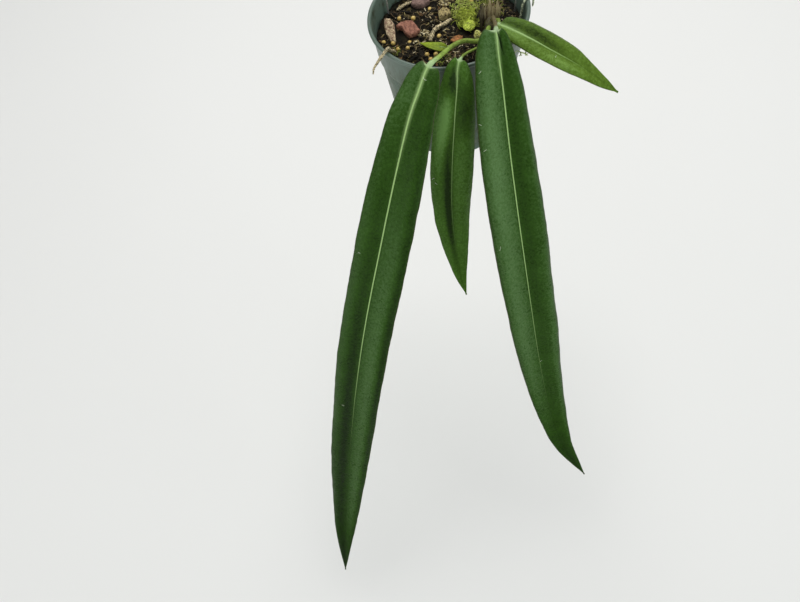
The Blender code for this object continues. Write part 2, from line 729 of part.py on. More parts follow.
def build_stem():
    """Short upright stem with leaf rings, standing in a hole in the mix."""
    bm = bmesh.new()
    levels = []
    for i in range(STEM_RINGS):
        share = i / (STEM_RINGS - 1)
        height = STEM_FOOT + (STEM_TOP - STEM_FOOT) * share
        radius = STEM_RADIUS
        if share > STEM_NECK_SHARE:
            fall = (share - STEM_NECK_SHARE) / (1.0 - STEM_NECK_SHARE)
            radius = STEM_RADIUS * (1.0 - 0.5 * fall ** 2) + 0.25 * MM * sin(11 * fall)
        ring = []
        for j in range(STEM_SIDES):
            turn = 2 * pi * j / STEM_SIDES
            ring.append(bm.verts.new(at(*STEM_PLACE, 0) + Vector(
                (radius * cos(turn), radius * sin(turn), height))))
        levels.append(ring)
    for low, high in zip(levels, levels[1:]):
        for j in range(STEM_SIDES):
            k = (j + 1) % STEM_SIDES
            bm.faces.new((low[j], low[k], high[k], high[j]))
    bm.faces.new(levels[0][::-1])
    bm.faces.new(levels[-1])
    stem = add("stem", to_mesh("stem", bm), STEM_BROWN)
    boolean(stem, "DIFFERENCE", [leaf.socket(LEAF_SOCKET) for leaf in LEAVES])
    smooth(stem.data, 50)


def build_cataphylls():
    """Dry brown sheaths behind the stem: one torn sheet round its back."""
    bm = bmesh.new()
    grid = []
    for i in range(SHEATH_COLUMNS):
        turn = radians(SHEATH_START + SHEATH_SWEEP * i / (SHEATH_COLUMNS - 1))
        tear = 0.5 + 0.5 * noise.noise(Vector((i * 0.55, 2.0, 0.0)))
        top = (-6 + 17 * tear - 3.5 * abs(i % 6 - 3) / 3) * MM
        column = []
        for j in range(SHEATH_ROWS):
            share = j / (SHEATH_ROWS - 1)
            height = SHEATH_FOOT + (top - SHEATH_FOOT) * share
            radius = STEM_RADIUS + SHEATH_OFFSET + SHEATH_SPREAD * share
            radius += 0.35 * MM * sin(i * 1.9)
            column.append(bm.verts.new(at(*STEM_PLACE, 0) + Vector(
                (radius * cos(turn), radius * sin(turn), height))))
        grid.append(column)
    for left, right in zip(grid, grid[1:]):
        for j in range(SHEATH_ROWS - 1):
            bm.faces.new((left[j], right[j], right[j + 1], left[j + 1]))
    sheath = add("cataphylls", to_mesh("cataphylls", bm), DRY_BROWN)
    solid = sheath.modifiers.new("Thickness", "SOLIDIFY")
    solid.thickness = 0.6 * MM
    solid.offset = 1.0


def build_moss_tip():
    """Small pointed tuft of yellow moss beside the petioles."""
    bm = bmesh.new()
    bmesh.ops.create_uvsphere(bm, u_segments=12, v_segments=9, radius=1.0)
    for vert in bm.verts:
        point = max(vert.co.z, 0.0)
        width = MOSS_TIP_WIDTH * (1.0 - 0.35 * point)
        vert.co = Vector((vert.co.x * width, vert.co.y * width, vert.co.z * MOSS_TIP_HEIGHT))
    bm.transform(Matrix.Translation(at(*MOSS_TIP_PLACE)) @ Matrix.Rotation(radians(-12), 4, "Y"))
    tip = add("moss_tip", to_mesh("moss_tip", bm), TIP_YELLOW)
    smooth(tip.data)


# Moss, roots and bark on the mix

def build_moss():
    """Moss tuft: a bumpy cushion with sprigs, and one brighter rounded lobe in front."""
    bm = bmesh.new()
    bmesh.ops.create_icosphere(bm, subdivisions=3, radius=1.0)
    for vert in bm.verts:
        rough = 1.0 + 0.22 * noise.noise(vert.co * 2.6)
        vert.co = vert.co * Vector(MOSS_SIZE) * rough * MM
    bmesh.ops.bisect_plane(bm, geom=bm.verts[:] + bm.edges[:] + bm.faces[:],
                           plane_co=(0, 0, -MOSS_CUT), plane_no=(0, 0, -1), clear_outer=True)
    rim = [edge for edge in bm.edges if edge.is_boundary]
    bmesh.ops.contextual_create(bm, geom=rim)
    heart = at(*MOSS_HEART) + Vector((0, 0, GAP))
    bm.transform(Matrix.Translation(heart))
    moss = add("moss_tuft", to_mesh("moss_tuft", bm), MOSS_LIME)
    sprigs = []
    rng = random.Random(5)
    for i in range(MOSS_SPRIGS):
        turn, lean = rng.uniform(0, 2 * pi), rng.uniform(0.35, 1.15)
        root = Vector((cos(turn) * sin(lean) * 5.6, sin(turn) * sin(lean) * 6.2,
                       cos(lean) * 4.4)) * MM
        out = root.normalized()
        bm = bmesh.new()
        bmesh.ops.create_cone(bm, cap_ends=True, segments=4, radius1=1.1 * MM,
                              radius2=0.35 * MM, depth=SPRIG_LENGTH)
        turned_up = Vector((0, 0, 1)).rotation_difference(out).to_matrix().to_4x4()
        place = heart + root + out * 1.2 * MM
        bm.transform(Matrix.Translation(place) @ turned_up)
        sprigs.append(add("sprig_%02d" % i, to_mesh("sprig", bm), cutter=True))
    bm = bmesh.new()
    bmesh.ops.create_uvsphere(bm, u_segments=12, v_segments=8, radius=1.0)
    bm.transform(Matrix.Translation(at(*LOBE_PLACE)) @ Matrix.Rotation(radians(-18), 4, "Z")
                 @ Matrix.Diagonal((*at(*LOBE_SIZE), 1.0)))
    sprigs.append(add("moss_lobe", to_mesh("moss_lobe", bm), cutter=True))
    boolean(moss, "UNION", sprigs)
    smooth(moss.data, 60)


# A root's route, radius and colour, its number of points, and its taper from foot to tip
Root = namedtuple("Root", "route radius surface points taper")

ROOTS = {
    "aerial_root_left": Root(
        Route([at(-46.8, -11, -21.5), at(-47.0, -11.5, -15.5), at(-49.5, -17, -9.5),
               at(-52, -23.5, -3.2), at(-52.9, -25, 0.3), at(-55.2, -28.3, 2.2),
               at(-58.4, -30.9, 1.4), at(-61.9, -31.6, -1.8), at(-65.2, -29.8, -7.3),
               at(-67.4, -27.2, -13), at(-68.2, -25, -19)]),
        1.15 * MM, "root_tan", 26, lambda share: 1.0 - 1.4 * max(share - 0.62, 0.0)),
    "aerial_root_right": Root(
        Route([at(55, -13, -21), at(55.2, -12.9, -14), at(56.3, -12.4, -7), at(57.4, -12, -1.6),
               at(60.8, -11, 1.6), at(64.8, -9.6, 0.2), at(66.6, -8.2, -5), at(67.2, -6.6, -11)]),
        1.0 * MM, "root_pale", 20, lambda share: 1.0 - 0.35 * share),
    "aerial_root_front": Root(
        Route([at(34.8, -41.5, -21), at(35.2, -42, -14), at(36.8, -44, -4), at(39.6, -47.2, 1.7),
               at(42.6, -50.3, 0.2), at(44.6, -51.4, -5), at(45.4, -51.0, -10)]),
        1.0 * MM, "root_pale", 18, lambda share: 1.0 - 0.3 * share),
    "surface_root_long": Root(
        Route([at(3.8, 5.6, -13.6), at(-0.5, 3.2, -13.5), at(-7.4, 0.8, -13.5),
               at(-12.7, -2.4, -13.5), at(-17.5, -11.5, -13.7)]),
        1.6 * MM, "root_tan", 14, lambda share: 1.0 - 0.12 * cos(share * 19)),
    "surface_root_short": Root(
        Route([at(-34, 38, -16.9), at(-27, 41, -16.5), at(-19, 43, -16.8)]),
        1.15 * MM, "root_tan", 9, lambda share: 0.8 + 0.3 * sin(pi * share)),
}


def build_roots():
    """Aerial roots over the rim, and roots that lie on the mix."""
    for name, root in ROOTS.items():
        rod(name, root.route.even(root.points), root.radius, bpy.data.materials[root.surface],
            root.taper, sides=6)


def bark(name, outline, centre, floor, thickness, surface, seed):
    """A flat piece of bark: an uneven slab with worn edges, flat below."""
    bm = bmesh.new()
    rng = random.Random(seed)
    low = [bm.verts.new(at(x, y, 0)) for x, y in outline]
    face = bm.faces.new(low)
    grown = bmesh.ops.extrude_face_region(bm, geom=[face])
    raised = [item for item in grown["geom"] if isinstance(item, bmesh.types.BMVert)]
    for vert in raised:
        vert.co.z += (thickness * rng.uniform(0.75, 1.1)) * MM
        vert.co.x *= BARK_DRAW
        vert.co.y *= BARK_DRAW
    bmesh.ops.bevel(bm, geom=[e for e in bm.edges if all(v in raised for v in e.verts)],
                    offset=BARK_EDGE, segments=1, affect="EDGES")
    bmesh.ops.triangulate(bm, faces=[f for f in bm.faces if len(f.verts) > 4])
    bm.transform(Matrix.Translation(at(centre[0], centre[1], floor) + Vector((0, 0, GAP))))
    return add(name, to_mesh(name, bm), surface)


def build_bark():
    bark("bark_red", [(-9.6, 3.2), (-5.5, 6.2), (1.5, 7.6), (6.4, 5.6), (9.2, -3.0), (7.2, -6.8),
                      (2.2, -8.6), (-2.6, -5.2), (-4.6, 0.4)],
         (-30.3, 8.3), -15.8, 5.0, BARK_RED, 1)
    bark("bark_mauve", [(-8.5, 1.0), (-5.0, 6.0), (3.0, 7.0), (8.5, 3.5), (6.5, -3.0),
                        (0.5, -6.2), (-5.5, -4.0)],
         (-13.0, 37.5), -17.4, 5.0, BARK_MAUVE, 2)
    bark("bark_strip", [(-2.0, 15.5), (2.5, 13.5), (4.2, 5.0), (2.6, -5.0), (0.8, -14.0),
                        (-2.8, -13.0), (-4.4, -4.0), (-4.0, 7.0)],
         (-44.4, 14.0), -17.6, 4.0, BARK_MAUVE, 3)
    bark("bark_orange", [(-5.2, 0.5), (-2.0, 2.8), (3.0, 3.2), (5.2, 0.6), (3.0, -2.6), (-3.4, -2.8)],
         (2.3, -17.0), -15.8, 2.6, BARK_ORANGE, 4)
    lump = bark("cork_lump", [(-5.0, -2.0), (-4.2, 3.0), (0.0, 5.4), (4.6, 3.2), (5.2, -1.8),
                              (1.0, -5.0), (-3.0, -4.6)],
                (0.4, 13.2), -15.4, 5.5, CORK_TAN, 6)
    for vert in lump.data.vertices:
        if vert.co.z > -13.5 * MM:
            vert.co += Vector((0, 0, 0.9 * MM * noise.noise(vert.co * 900)))


clear_scene()
PARTS = collection("potted_anthurium")
CUTTERS = collection("cutters")
FRAME = bpy.data.objects.new("hanging_frame", None)
FRAME.location = (0.0, 0.0, -HANGER_HEIGHT)
PARTS.objects.link(FRAME)

POT_GREEN = material("pot_green", (0.11, 0.17, 0.135), 0.38)
MIX_BROWN = material("mix_brown", (0.045, 0.034, 0.024), 0.95)
WIRE_STEEL = material("wire_steel", (0.55, 0.57, 0.58), 0.32, 0.9)
LEAF_DEEP = material("leaf_deep", (0.035, 0.105, 0.03), 0.42)
LEAF_LIGHT = material("leaf_light", (0.09, 0.21, 0.03), 0.42)
STEM_BROWN = material("stem_brown", (0.16, 0.15, 0.06), 0.8)
DRY_BROWN = material("dry_brown", (0.24, 0.17, 0.09), 0.9)
SHOOT_LIME = material("shoot_lime", (0.38, 0.5, 0.09), 0.5)
TIP_YELLOW = material("tip_yellow", (0.5, 0.5, 0.14), 0.8)
MOSS_LIME = material("moss_lime", (0.3, 0.42, 0.06), 0.9)
ROOT_TAN = material("root_tan", (0.5, 0.4, 0.24), 0.85)
ROOT_PALE = material("root_pale", (0.5, 0.56, 0.42), 0.8)
BARK_RED = material("bark_red", (0.26, 0.12, 0.075), 0.9)
BARK_MAUVE = material("bark_mauve", (0.22, 0.15, 0.11), 0.9)
BARK_ORANGE = material("bark_orange", (0.35, 0.16, 0.05), 0.9)
CORK_TAN = material("cork_tan", (0.3, 0.25, 0.12), 0.95)

build_pot()
EYE_MIDDLE = build_hook()
STRANDS = [build_strand("hanger_wire_left", -1, STRAND_LEFT, EYE_MIDDLE),
           build_strand("hanger_wire_right", 1, STRAND_RIGHT, EYE_MIDDLE)]
build_mix(STRANDS)
for leaf in LEAVES:
    leaf.build(LEAF_LIGHT if leaf.name == "leaf_right" else LEAF_DEEP)
YOUNG_SHOOT.build(SHOOT_LIME)
build_stem()
build_cataphylls()
build_moss_tip()
build_moss()
build_roots()
build_bark()
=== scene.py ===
"""Looks of a potted Anthurium pallidiflorum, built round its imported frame.

The pot hangs on two wires from a hook, and long strap leaves hang over its rim. Metres, +Z up,
-Y towards the side over which the leaves hang. Places are in millimetres from the rim's middle.
"""

import random
from bisect import bisect_right
from collections import namedtuple
from math import cos, floor, pi, radians, sin, sqrt

import bmesh
import bpy
from bpy.props import FloatProperty, FloatVectorProperty, IntProperty, PointerProperty
from mathutils import Matrix, Vector, noise


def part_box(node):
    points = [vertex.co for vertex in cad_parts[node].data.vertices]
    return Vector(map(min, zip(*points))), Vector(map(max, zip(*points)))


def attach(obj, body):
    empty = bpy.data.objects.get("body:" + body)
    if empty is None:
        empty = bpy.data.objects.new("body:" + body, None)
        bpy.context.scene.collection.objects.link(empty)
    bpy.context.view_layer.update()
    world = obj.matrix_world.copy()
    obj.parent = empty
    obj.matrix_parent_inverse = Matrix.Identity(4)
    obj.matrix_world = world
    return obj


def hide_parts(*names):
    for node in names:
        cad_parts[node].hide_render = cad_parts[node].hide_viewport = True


bl_info = {
    "name": "Potted Anthurium",
    "version": (1, 0, 0),
    "blender": (4, 5, 0),
    "location": "3D View > Sidebar > Anthurium",
    "description": "Finishes a hanging pot with bark mix, moss, roots and long strap leaves",
    "category": "Object",
}

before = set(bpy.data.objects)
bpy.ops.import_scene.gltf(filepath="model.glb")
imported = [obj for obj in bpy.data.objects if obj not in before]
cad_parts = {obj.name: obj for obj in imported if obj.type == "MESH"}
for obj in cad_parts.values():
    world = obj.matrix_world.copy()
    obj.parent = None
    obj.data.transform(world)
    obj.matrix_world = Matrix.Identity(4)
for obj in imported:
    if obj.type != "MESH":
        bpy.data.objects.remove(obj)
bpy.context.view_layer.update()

MM = 0.001
UP = Vector((0.0, 0.0, 1.0))
UNTURNED = Matrix.Identity(3)
POT_LOW, POT_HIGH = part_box("pot")
RIM_TOP = POT_HIGH.z
RIM_RADIUS = (POT_HIGH.x - POT_LOW.x) / 2
POT_HEIGHT = POT_HIGH.z - POT_LOW.z
LOWEST_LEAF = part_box("leaf_left")[0].z

# Steps along a hair, a loose fibre or a strand of moss, and how much thinner it gets
FIBRE_STEPS = 8
FIBRE_TAPER = 0.55


def at(x, y, z):
    """A place in millimetres from the middle of the rim, in the frame's metres."""
    return Vector((x, y, z)) * MM + UP * RIM_TOP


def polar(radius, turn, height=0.0):
    return Vector((radius * cos(turn), radius * sin(turn), height))


def lump(x, y, z):
    return noise.noise(Vector((x, y, z)))


def smooth_step(value, low, high):
    share = min(max((value - low) / (high - low), 0.0), 1.0)
    return share * share * (3 - 2 * share)


def bell(off):
    """Falls from 1 in the middle towards nothing."""
    return 2.718 ** -off


def turned_to(direction):
    """A rotation that carries +Z to a direction."""
    return UP.rotation_difference(direction).to_matrix()


def spun(z, x=0.0, y=0.0):
    """A rotation about Y, then X, then Z."""
    turn = Matrix.Rotation(z, 3, "Z") @ Matrix.Rotation(x, 3, "X")
    return turn @ Matrix.Rotation(y, 3, "Y")


def stray(rng, *spans):
    """A vector of random measures, each from its own span."""
    return Vector([rng.uniform(low, high) for low, high in spans])


def tapered(thick, count, steps):
    """Radii of a thin strand that gets thinner to its end."""
    return [thick * (1.0 - FIBRE_TAPER * i / steps) for i in range(count)]


def add_object(name, data):
    made = bpy.data.objects.new(name, data)
    bpy.context.scene.collection.objects.link(made)
    return made


# Curves

def spline_point(points, piece, t):
    """Catmull-Rom between points[piece] and the next one."""
    last = len(points) - 1
    b, c = points[piece], points[min(piece + 1, last)]
    a = points[piece - 1] if piece > 0 else b * 2 - c
    d = points[piece + 2] if piece + 2 <= last else c * 2 - b
    return 0.5 * (2 * b + (c - a) * t + (2 * a - 5 * b + 4 * c - d) * t ** 2
                  + (3 * b - a - 3 * c + d) * t ** 3)


class Route:
    """A smooth curve through a few chosen points, read by its length."""

    def __init__(self, points, fineness=24):
        self.places = [spline_point(points, piece, step / fineness)
                       for piece in range(len(points) - 1) for step in range(fineness)]
        self.places.append(points[-1])
        self.marks = [0.0]
        for here, there in zip(self.places, self.places[1:]):
            self.marks.append(self.marks[-1] + (there - here).length)
        self.length = self.marks[-1]
        self.knots = self.marks[::fineness]

    def place(self, distance):
        distance = min(max(distance, 0.0), self.length)
        low = min(bisect_right(self.marks, distance), len(self.marks) - 1) - 1
        span = self.marks[low + 1] - self.marks[low]
        share = (distance - self.marks[low]) / span if span else 0.0
        return self.places[low].lerp(self.places[low + 1], share)

    def heading(self, distance):
        return (self.place(distance + 1.5 * MM) - self.place(distance - 1.5 * MM)).normalized()

    def even(self, count):
        return [self.place(self.length * i / (count - 1)) for i in range(count)]


def route_through(*points):
    return Route([at(*point) for point in points])


# Shapes

class Shape:
    """Points and faces of one piece, with the marks that its finish reads at each point."""

    def __init__(self, *marks):
        self.points = []
        self.faces = []
        self.marks = {mark: [] for mark in marks}

    def point(self, place, *values):
        self.points.append(place)
        for mark, value in zip(self.marks, values):
            self.marks[mark].append(value)
        return len(self.points) - 1

    def circle(self, count, radius, height, *values):
        """A level ring of points round the pot's axis."""
        return [self.point(polar(radius, 2 * pi * j / count, RIM_TOP + height), *values)
                for j in range(count)]

    def join(self, near, far, closed=True):
        """Quads between two rings of the same count."""
        count = len(near)
        for j in range(count if closed else count - 1):
            k = (j + 1) % count
            self.faces.append((near[j], near[k], far[k], far[j]))

    def chain(self, rings, inward=False):
        for near, far in zip(rings, rings[1:]):
            self.join(*((far, near) if inward else (near, far)))

    def close(self, rings):
        """Flat faces over the first and the last ring."""
        self.faces += [tuple(rings[0][::-1]), tuple(rings[-1])]

    def fan(self, ring, middle):
        for j in range(len(ring)):
            self.faces.append((ring[j], ring[(j + 1) % len(ring)], middle))

    def cap(self, ring, place, *values):
        self.fan(ring, self.point(place, *values))

    def tube(self, places, radii, sides, *values, rough=0.0, grain=0.9):
        """A closed round tube along the places, with one radius or a radius for each."""
        if not isinstance(radii, list):
            radii = [radii] * len(places)
        side = UP.cross(places[1] - places[0])
        if side.length < 1e-9:
            side = Vector((1.0, 0.0, 0.0))
        rings = []
        for i, place in enumerate(places):
            heading = (places[min(i + 1, len(places) - 1)] - places[max(i - 1, 0)]).normalized()
            side = (side - heading * side.dot(heading)).normalized()
            top = heading.cross(side)
            ring = []
            for j in range(sides):
                turn = 2 * pi * j / sides
                out = side * cos(turn) + top * sin(turn)
                uneven = rough * noise.noise((place + out * radii[i]) / MM * grain)
                ring.append(self.point(place + out * radii[i] * (1.0 + uneven), *values))
            rings.append(ring)
        self.chain(rings)
        for ring, end, inner, radius in ((rings[0][::-1], places[0], places[1], radii[0]),
                                         (rings[-1], places[-1], places[-2], radii[-1])):
            self.cap(ring, end + (end - inner).normalized() * radius * 0.4, *values)

    def ball(self, centre, size, turn, segments, rings, *values, rough=0.0, fine=1.0):
        """An uneven ellipsoid: size is its three half axes, turn a rotation matrix."""
        levels = []
        for i in range(1, rings):
            lean = pi * i / rings
            level = []
            for j in range(segments):
                out = polar(sin(lean), 2 * pi * j / segments, cos(lean))
                uneven = 1.0 + rough * noise.noise(out * fine + centre * 900)
                level.append(self.point(centre + turn @ (out * size * uneven), *values))
            levels.append(level)
        self.chain(levels, inward=True)
        pole = turn @ Vector((0, 0, size.z))
        self.cap(levels[0], centre + pole, *values)
        self.cap(levels[-1][::-1], centre - pole, *values)

    def splinter(self, centre, size, turn, rng, *values):
        """A broken chip: four uneven sections along its length, with crisp edges."""
        rings = []
        start = rng.uniform(0, 2 * pi)
        for station, breadth in ((-1.0, 0.45), (-0.45, 0.95), (0.4, 1.0), (1.0, 0.4)):
            ring = []
            for j in range(5):
                spin = start + 2 * pi * j / 5
                out = breadth * rng.uniform(0.7, 1.15)
                spot = Vector((size.x * (station + rng.uniform(-0.16, 0.16)),
                               size.y * cos(spin) * out, size.z * sin(spin) * out))
                ring.append(self.point(centre + turn @ spot, *values))
            rings.append(ring)
        self.chain(rings)
        self.close(rings)

    def show(self, name, finish, slot, *nodes, sharp=None):
        """Put the piece in the scene, on its body, with its finish and the nodes it stands for."""
        mesh = bpy.data.meshes.new(name)
        mesh.from_pydata([tuple(place) for place in self.points], [], self.faces)
        for mark, values in self.marks.items():
            mesh.attributes.new(mark, "FLOAT", "POINT").data.foreach_set("value", values)
        mesh.validate()
        mesh.shade_smooth()
        mesh.materials.append(finish)
        if sharp:
            mesh.set_sharp_from_angle(angle=radians(sharp))
        made = add_object(name, mesh)
        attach(made, "root")
        if nodes:
            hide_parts(*nodes)
        return made


# Finishes

class Finish:
    """A Principled material whose nodes are added by short calls."""

    def __init__(self, name, roughness, **fixed):
        self.material = bpy.data.materials.new(name)
        self.material.use_nodes = True
        self.tree = self.material.node_tree
        self.shader = self.tree.nodes["Principled BSDF"]
        self.coordinates = self.tree.nodes.new("ShaderNodeTexCoord").outputs["Object"]
        self.patterns = {}
        self.give(Roughness=roughness, **fixed)

    def set(self, socket, value):
        if isinstance(value, bpy.types.NodeSocket):
            self.tree.links.new(value, socket)
        elif isinstance(value, (int, float)):
            socket.default_value = value
        else:
            socket.default_value = (*value[:3], 1.0) if len(socket.default_value) == 4 else value

    def give(self, **values):
        """Set inputs of the shader, named with low lines for spaces."""
        for name, value in values.items():
            self.set(self.shader.inputs[name.replace("_", " ")], value)

    def add(self, kind, output, inputs, **settings):
        """Add a node with its settings and inputs, and return one of its outputs."""
        node = self.tree.nodes.new("ShaderNode" + kind)
        for setting, value in settings.items():
            setattr(node, setting, value)
        for socket, value in inputs.items():
            self.set(node.inputs[socket], value)
        return node.outputs[output]

    def pattern(self, kind):
        """A mark by its name, cells by their size or noise by its measures, each made once."""
        if kind not in self.patterns:
            if isinstance(kind, str):
                made = self.add("Attribute", "Fac", {}, attribute_name=kind)
            elif isinstance(kind, tuple):
                made = self.noise(*kind)
            else:
                made = self.add("TexVoronoi", "Distance", {"Vector": self.coordinates,
                                                           "Scale": 1.0 / (kind * MM)})
            self.patterns[kind] = made
        return self.patterns[kind]

    def noise(self, size_mm, detail, roughness=0.5, stretch=None):
        """Noise whose lumps are about size_mm across, and drawn out where stretch is below 1."""
        place = self.coordinates
        if stretch:
            place = self.add("Mapping", "Vector", {"Vector": place, "Scale": stretch})
        return self.add("TexNoise", "Fac", {"Vector": place, "Scale": 1.0 / (size_mm * MM),
                                            "Detail": detail, "Roughness": roughness})

    def math(self, operation, a, b=0.0, clamp=False):
        return self.add("Math", 0, {0: a, 1: b}, operation=operation, use_clamp=clamp)

    def plus(self, a, b):
        return self.math("ADD", a, b)

    def size(self, value):
        """The value without its sign."""
        return self.math("ABSOLUTE", value)

    def times(self, first, *others):
        for other in others:
            first = self.math("MULTIPLY", first, other)
        return first

    def band(self, kind, low, high, start=0.0, end=1.0):
        """A smooth rise from start to end as a pattern or another value goes from low to high."""
        value = kind if isinstance(kind, bpy.types.NodeSocket) else self.pattern(kind)
        return self.add("MapRange", "Result", {"Value": value, "From Min": low, "From Max": high,
                                               "To Min": start, "To Max": end},
                        interpolation_type="SMOOTHSTEP")

    def mix(self, share, a, b):
        return self.add("Mix", 2, {0: share, 6: a, 7: b}, data_type="RGBA")

    def coats(self, base, *coats):
        """Colours laid over a base: of each the share that shows, and its colour."""
        for share, colour in coats:
            base = self.mix(share, base, colour)
        return base

    def layers(self, base, *layers):
        """The same, with each share as a pattern and the band in which it shows."""
        return self.coats(base, *((self.band(kind, *band), colour) for kind, band, colour in layers))

    def bump(self, height, depth_mm, strength):
        self.give(Normal=self.add("Bump", "Normal", {"Height": height, "Distance": depth_mm * MM,
                                                     "Strength": strength}))


def layered(name, roughness, base, *layers, bump=None, **fixed):
    """A finish of layers; bump holds one or two patterns, their depth and their strength."""
    finish = Finish(name, roughness, **fixed)
    finish.give(Base_Color=finish.layers(base, *layers))
    if bump:
        *kinds, depth, strength = bump
        heights = [finish.pattern(kind) for kind in kinds]
        finish.bump(finish.plus(*heights) if len(heights) > 1 else heights[0], depth, strength)
    return finish.material


def shaded(colour, factor, more=0.0):
    return tuple(min(c * factor + more, 1.0) for c in colour)


# Sizes and colours that a user would change

def colour_setting(name, description, *rgb):
    return FloatVectorProperty(name=name, description=description, default=rgb, subtype="COLOR")


def length_setting(name, description, default):
    return FloatProperty(name=name, description=description, default=default, unit="LENGTH")


def angle_setting(name, description, degrees):
    return FloatProperty(name=name, description=description, default=radians(degrees),
                         subtype="ANGLE")


def power_setting(name, description, default):
    return FloatProperty(name=name, description=description, default=default, unit="POWER")


def count_setting(name, description, default):
    return IntProperty(name=name, description=description, default=default)


class StageLooks(bpy.types.PropertyGroup):
    lens: FloatProperty(name="Lens", description="Focal length of the camera in millimetres",
                        default=26.01, min=5)
    pitch: angle_setting("Pitch", "How far the camera looks down", 62.5)
    roll: angle_setting("Roll", "How far the camera leans", -15.0)
    floor_gap: length_setting("Floor gap", "Floor's depth under the leaf tips", 0.075)
    floor_colour: colour_setting("Floor", "Colour of the floor", 0.76, 0.755, 0.745)
    key_power: power_setting("Key light", "Power of the high soft light", 58.0)
    side_power: power_setting("Side lights", "Power of each low soft light", 468.0)
    sky: FloatProperty(name="Surroundings", description="Strength of the even light all round",
                       default=0.28, min=0)


class LeafLooks(bpy.types.PropertyGroup):
    vein_spacing: length_setting("Vein spacing", "Distance between side veins", 6.5 * MM)
    vein_depth: length_setting("Vein depth", "How deep the side veins lie", 0.07 * MM)
    ripple: length_setting("Ripple", "Height of the slow unevenness of a blade", 0.35 * MM)
    roughness: FloatProperty(name="Roughness", description="Roughness of the blade's face",
                             default=0.35, min=0, max=1)
    deep: colour_setting("Deep green", "Colour of the grown blades", 0.017, 0.048, 0.004)
    olive: colour_setting("Olive green", "Colour of the middle blade", 0.045, 0.105, 0.012)
    light: colour_setting("Light green", "Colour of the small right leaf", 0.07, 0.125, 0.014)
    sheen: colour_setting("Sheen", "Tint of the satin light on the blades", 0.6, 1.0, 0.45)
    midrib: colour_setting("Midrib", "Colour of the midribs", 0.3, 0.44, 0.17)
    under: colour_setting("Underside", "Colour of the blades' undersides", 0.075, 0.15, 0.035)
    # Satin is a painted sheen, added to the green where the patches paint a blade palest
    satin: colour_setting("Satin", "Added to the green where a blade is palest", 0.05, 0.06, 0.048)
    petiole: colour_setting("Petiole", "Colour of the leaf stalks", 0.27, 0.38, 0.075)
    dry: colour_setting("Dry stalk", "Colour of a stalk in its dry sheath", 0.16, 0.13, 0.06)
    joint: colour_setting("Joint", "Colour of the swollen joints", 0.38, 0.52, 0.29)
    shoot: colour_setting("Young shoot", "Colour of the young shoot", 0.25, 0.33, 0.03)


class PotLooks(bpy.types.PropertyGroup):
    steps: IntProperty(name="Steps", description="Flats round the pot", default=192, min=24)
    plastic: colour_setting("Plastic", "Colour of the clean plastic", 0.085, 0.125, 0.1)
    # Grime is partly real grime and partly painted shade that keeps the outer wall darker than the lip
    # and the inside
    grime_and_painted_shade: colour_setting("Grime", "Colour of the grime on the plastic", 0.06, 0.062, 0.03)
    steel: colour_setting("Wire", "Colour of the hanger's wire", 0.6, 0.64, 0.66)


class MixLooks(bpy.types.PropertyGroup):
    chips: count_setting("Chips", "Number of bark chips on the mix", 2600)
    fibres: count_setting("Fibres", "Number of loose fibres", 520)
    grit: count_setting("Grit", "Number of pale slivers and grains", 170)
    beads: count_setting("Beads", "Fertiliser beads beside those that are placed", 9)
    # The damp mix is near black: partly its own colour, partly painted shade for the gaps between the
    # chips
    dark: colour_setting("Dark", "Colour of the damp mix", 0.005, 0.0045, 0.003)
    brown: colour_setting("Brown", "Colour of the mix where it is dry", 0.026, 0.019, 0.009)
    bead: colour_setting("Bead", "Colour of the fertiliser beads", 0.66, 0.44, 0.11)


class GrowthLooks(bpy.types.PropertyGroup):
    strands: count_setting("Moss strands", "Number of strands in the moss tuft", 430)
    moss: colour_setting("Moss", "Colour of the moss strands", 0.42, 0.5, 0.05)
    lobe: colour_setting("Moss lobe", "Colour of the bright lobe", 0.56, 0.68, 0.08)
    creep: colour_setting("Creeping moss", "Colour of the thin moss", 0.34, 0.4, 0.06)
    tip: colour_setting("Moss tip", "Colour of the yellow tuft", 0.9, 0.86, 0.28)
    root: colour_setting("Root", "Colour of dry roots", 0.58, 0.48, 0.28)
    root_fresh: colour_setting("Fresh root tip", "Colour of the thin pale branches", 0.9, 0.98, 0.5)
    root_pale: colour_setting("Pale root", "Colour of fresh roots", 0.7, 0.76, 0.5)
    sheath: colour_setting("Dry sheath", "Colour of the papery sheath", 0.4, 0.32, 0.17)


# Stage

Light = namedtuple("Light", "name azimuth elevation distance width height share tint")

# Soft lights: the first is the key light, the others stand low where the blades mirror them
LIGHTS = (
    Light("key_light", 165.0, 66.0, 2.6, 2.0, 2.0, 1.0, (1.0, 0.985, 0.96)),
    Light("left_light", -68.0, 8.0, 7.8, 8.85, 6.3, 0.95, (0.95, 1.0, 0.98)),
    Light("right_light", 56.0, 11.0, 7.8, 6.0, 6.3, 1.05, (0.93, 1.0, 0.98)),
    Light("front_light", -33.0, 18.0, 7.8, 2.28, 2.55, 0.14, (0.97, 1.0, 0.98)),
)

# The camera's place, and the middle of the leaves, which the lights look at
CAMERA_PLACE = (-94.1, -392.4, 301.8)
LIT_PLACE = (-20.0, -110.0, -120.0)
FLOOR_HALF = 6.0


def build_camera(looks):
    forward = Vector((0.0, cos(looks.pitch), -sin(looks.pitch)))
    level = Vector((1.0, 0.0, 0.0))
    lift = level.cross(forward)
    right = level * cos(looks.roll) + lift * sin(looks.roll)
    up = lift * cos(looks.roll) - level * sin(looks.roll)
    data = bpy.data.cameras.new("camera")
    data.sensor_width = 36.0
    data.lens = looks.lens
    data.clip_start = 0.01
    camera = add_object("camera", data)
    camera.matrix_world = Matrix.Translation(at(*CAMERA_PLACE)) @ Matrix(
        (right, up, -forward)).transposed().to_4x4()
    bpy.context.scene.camera = camera


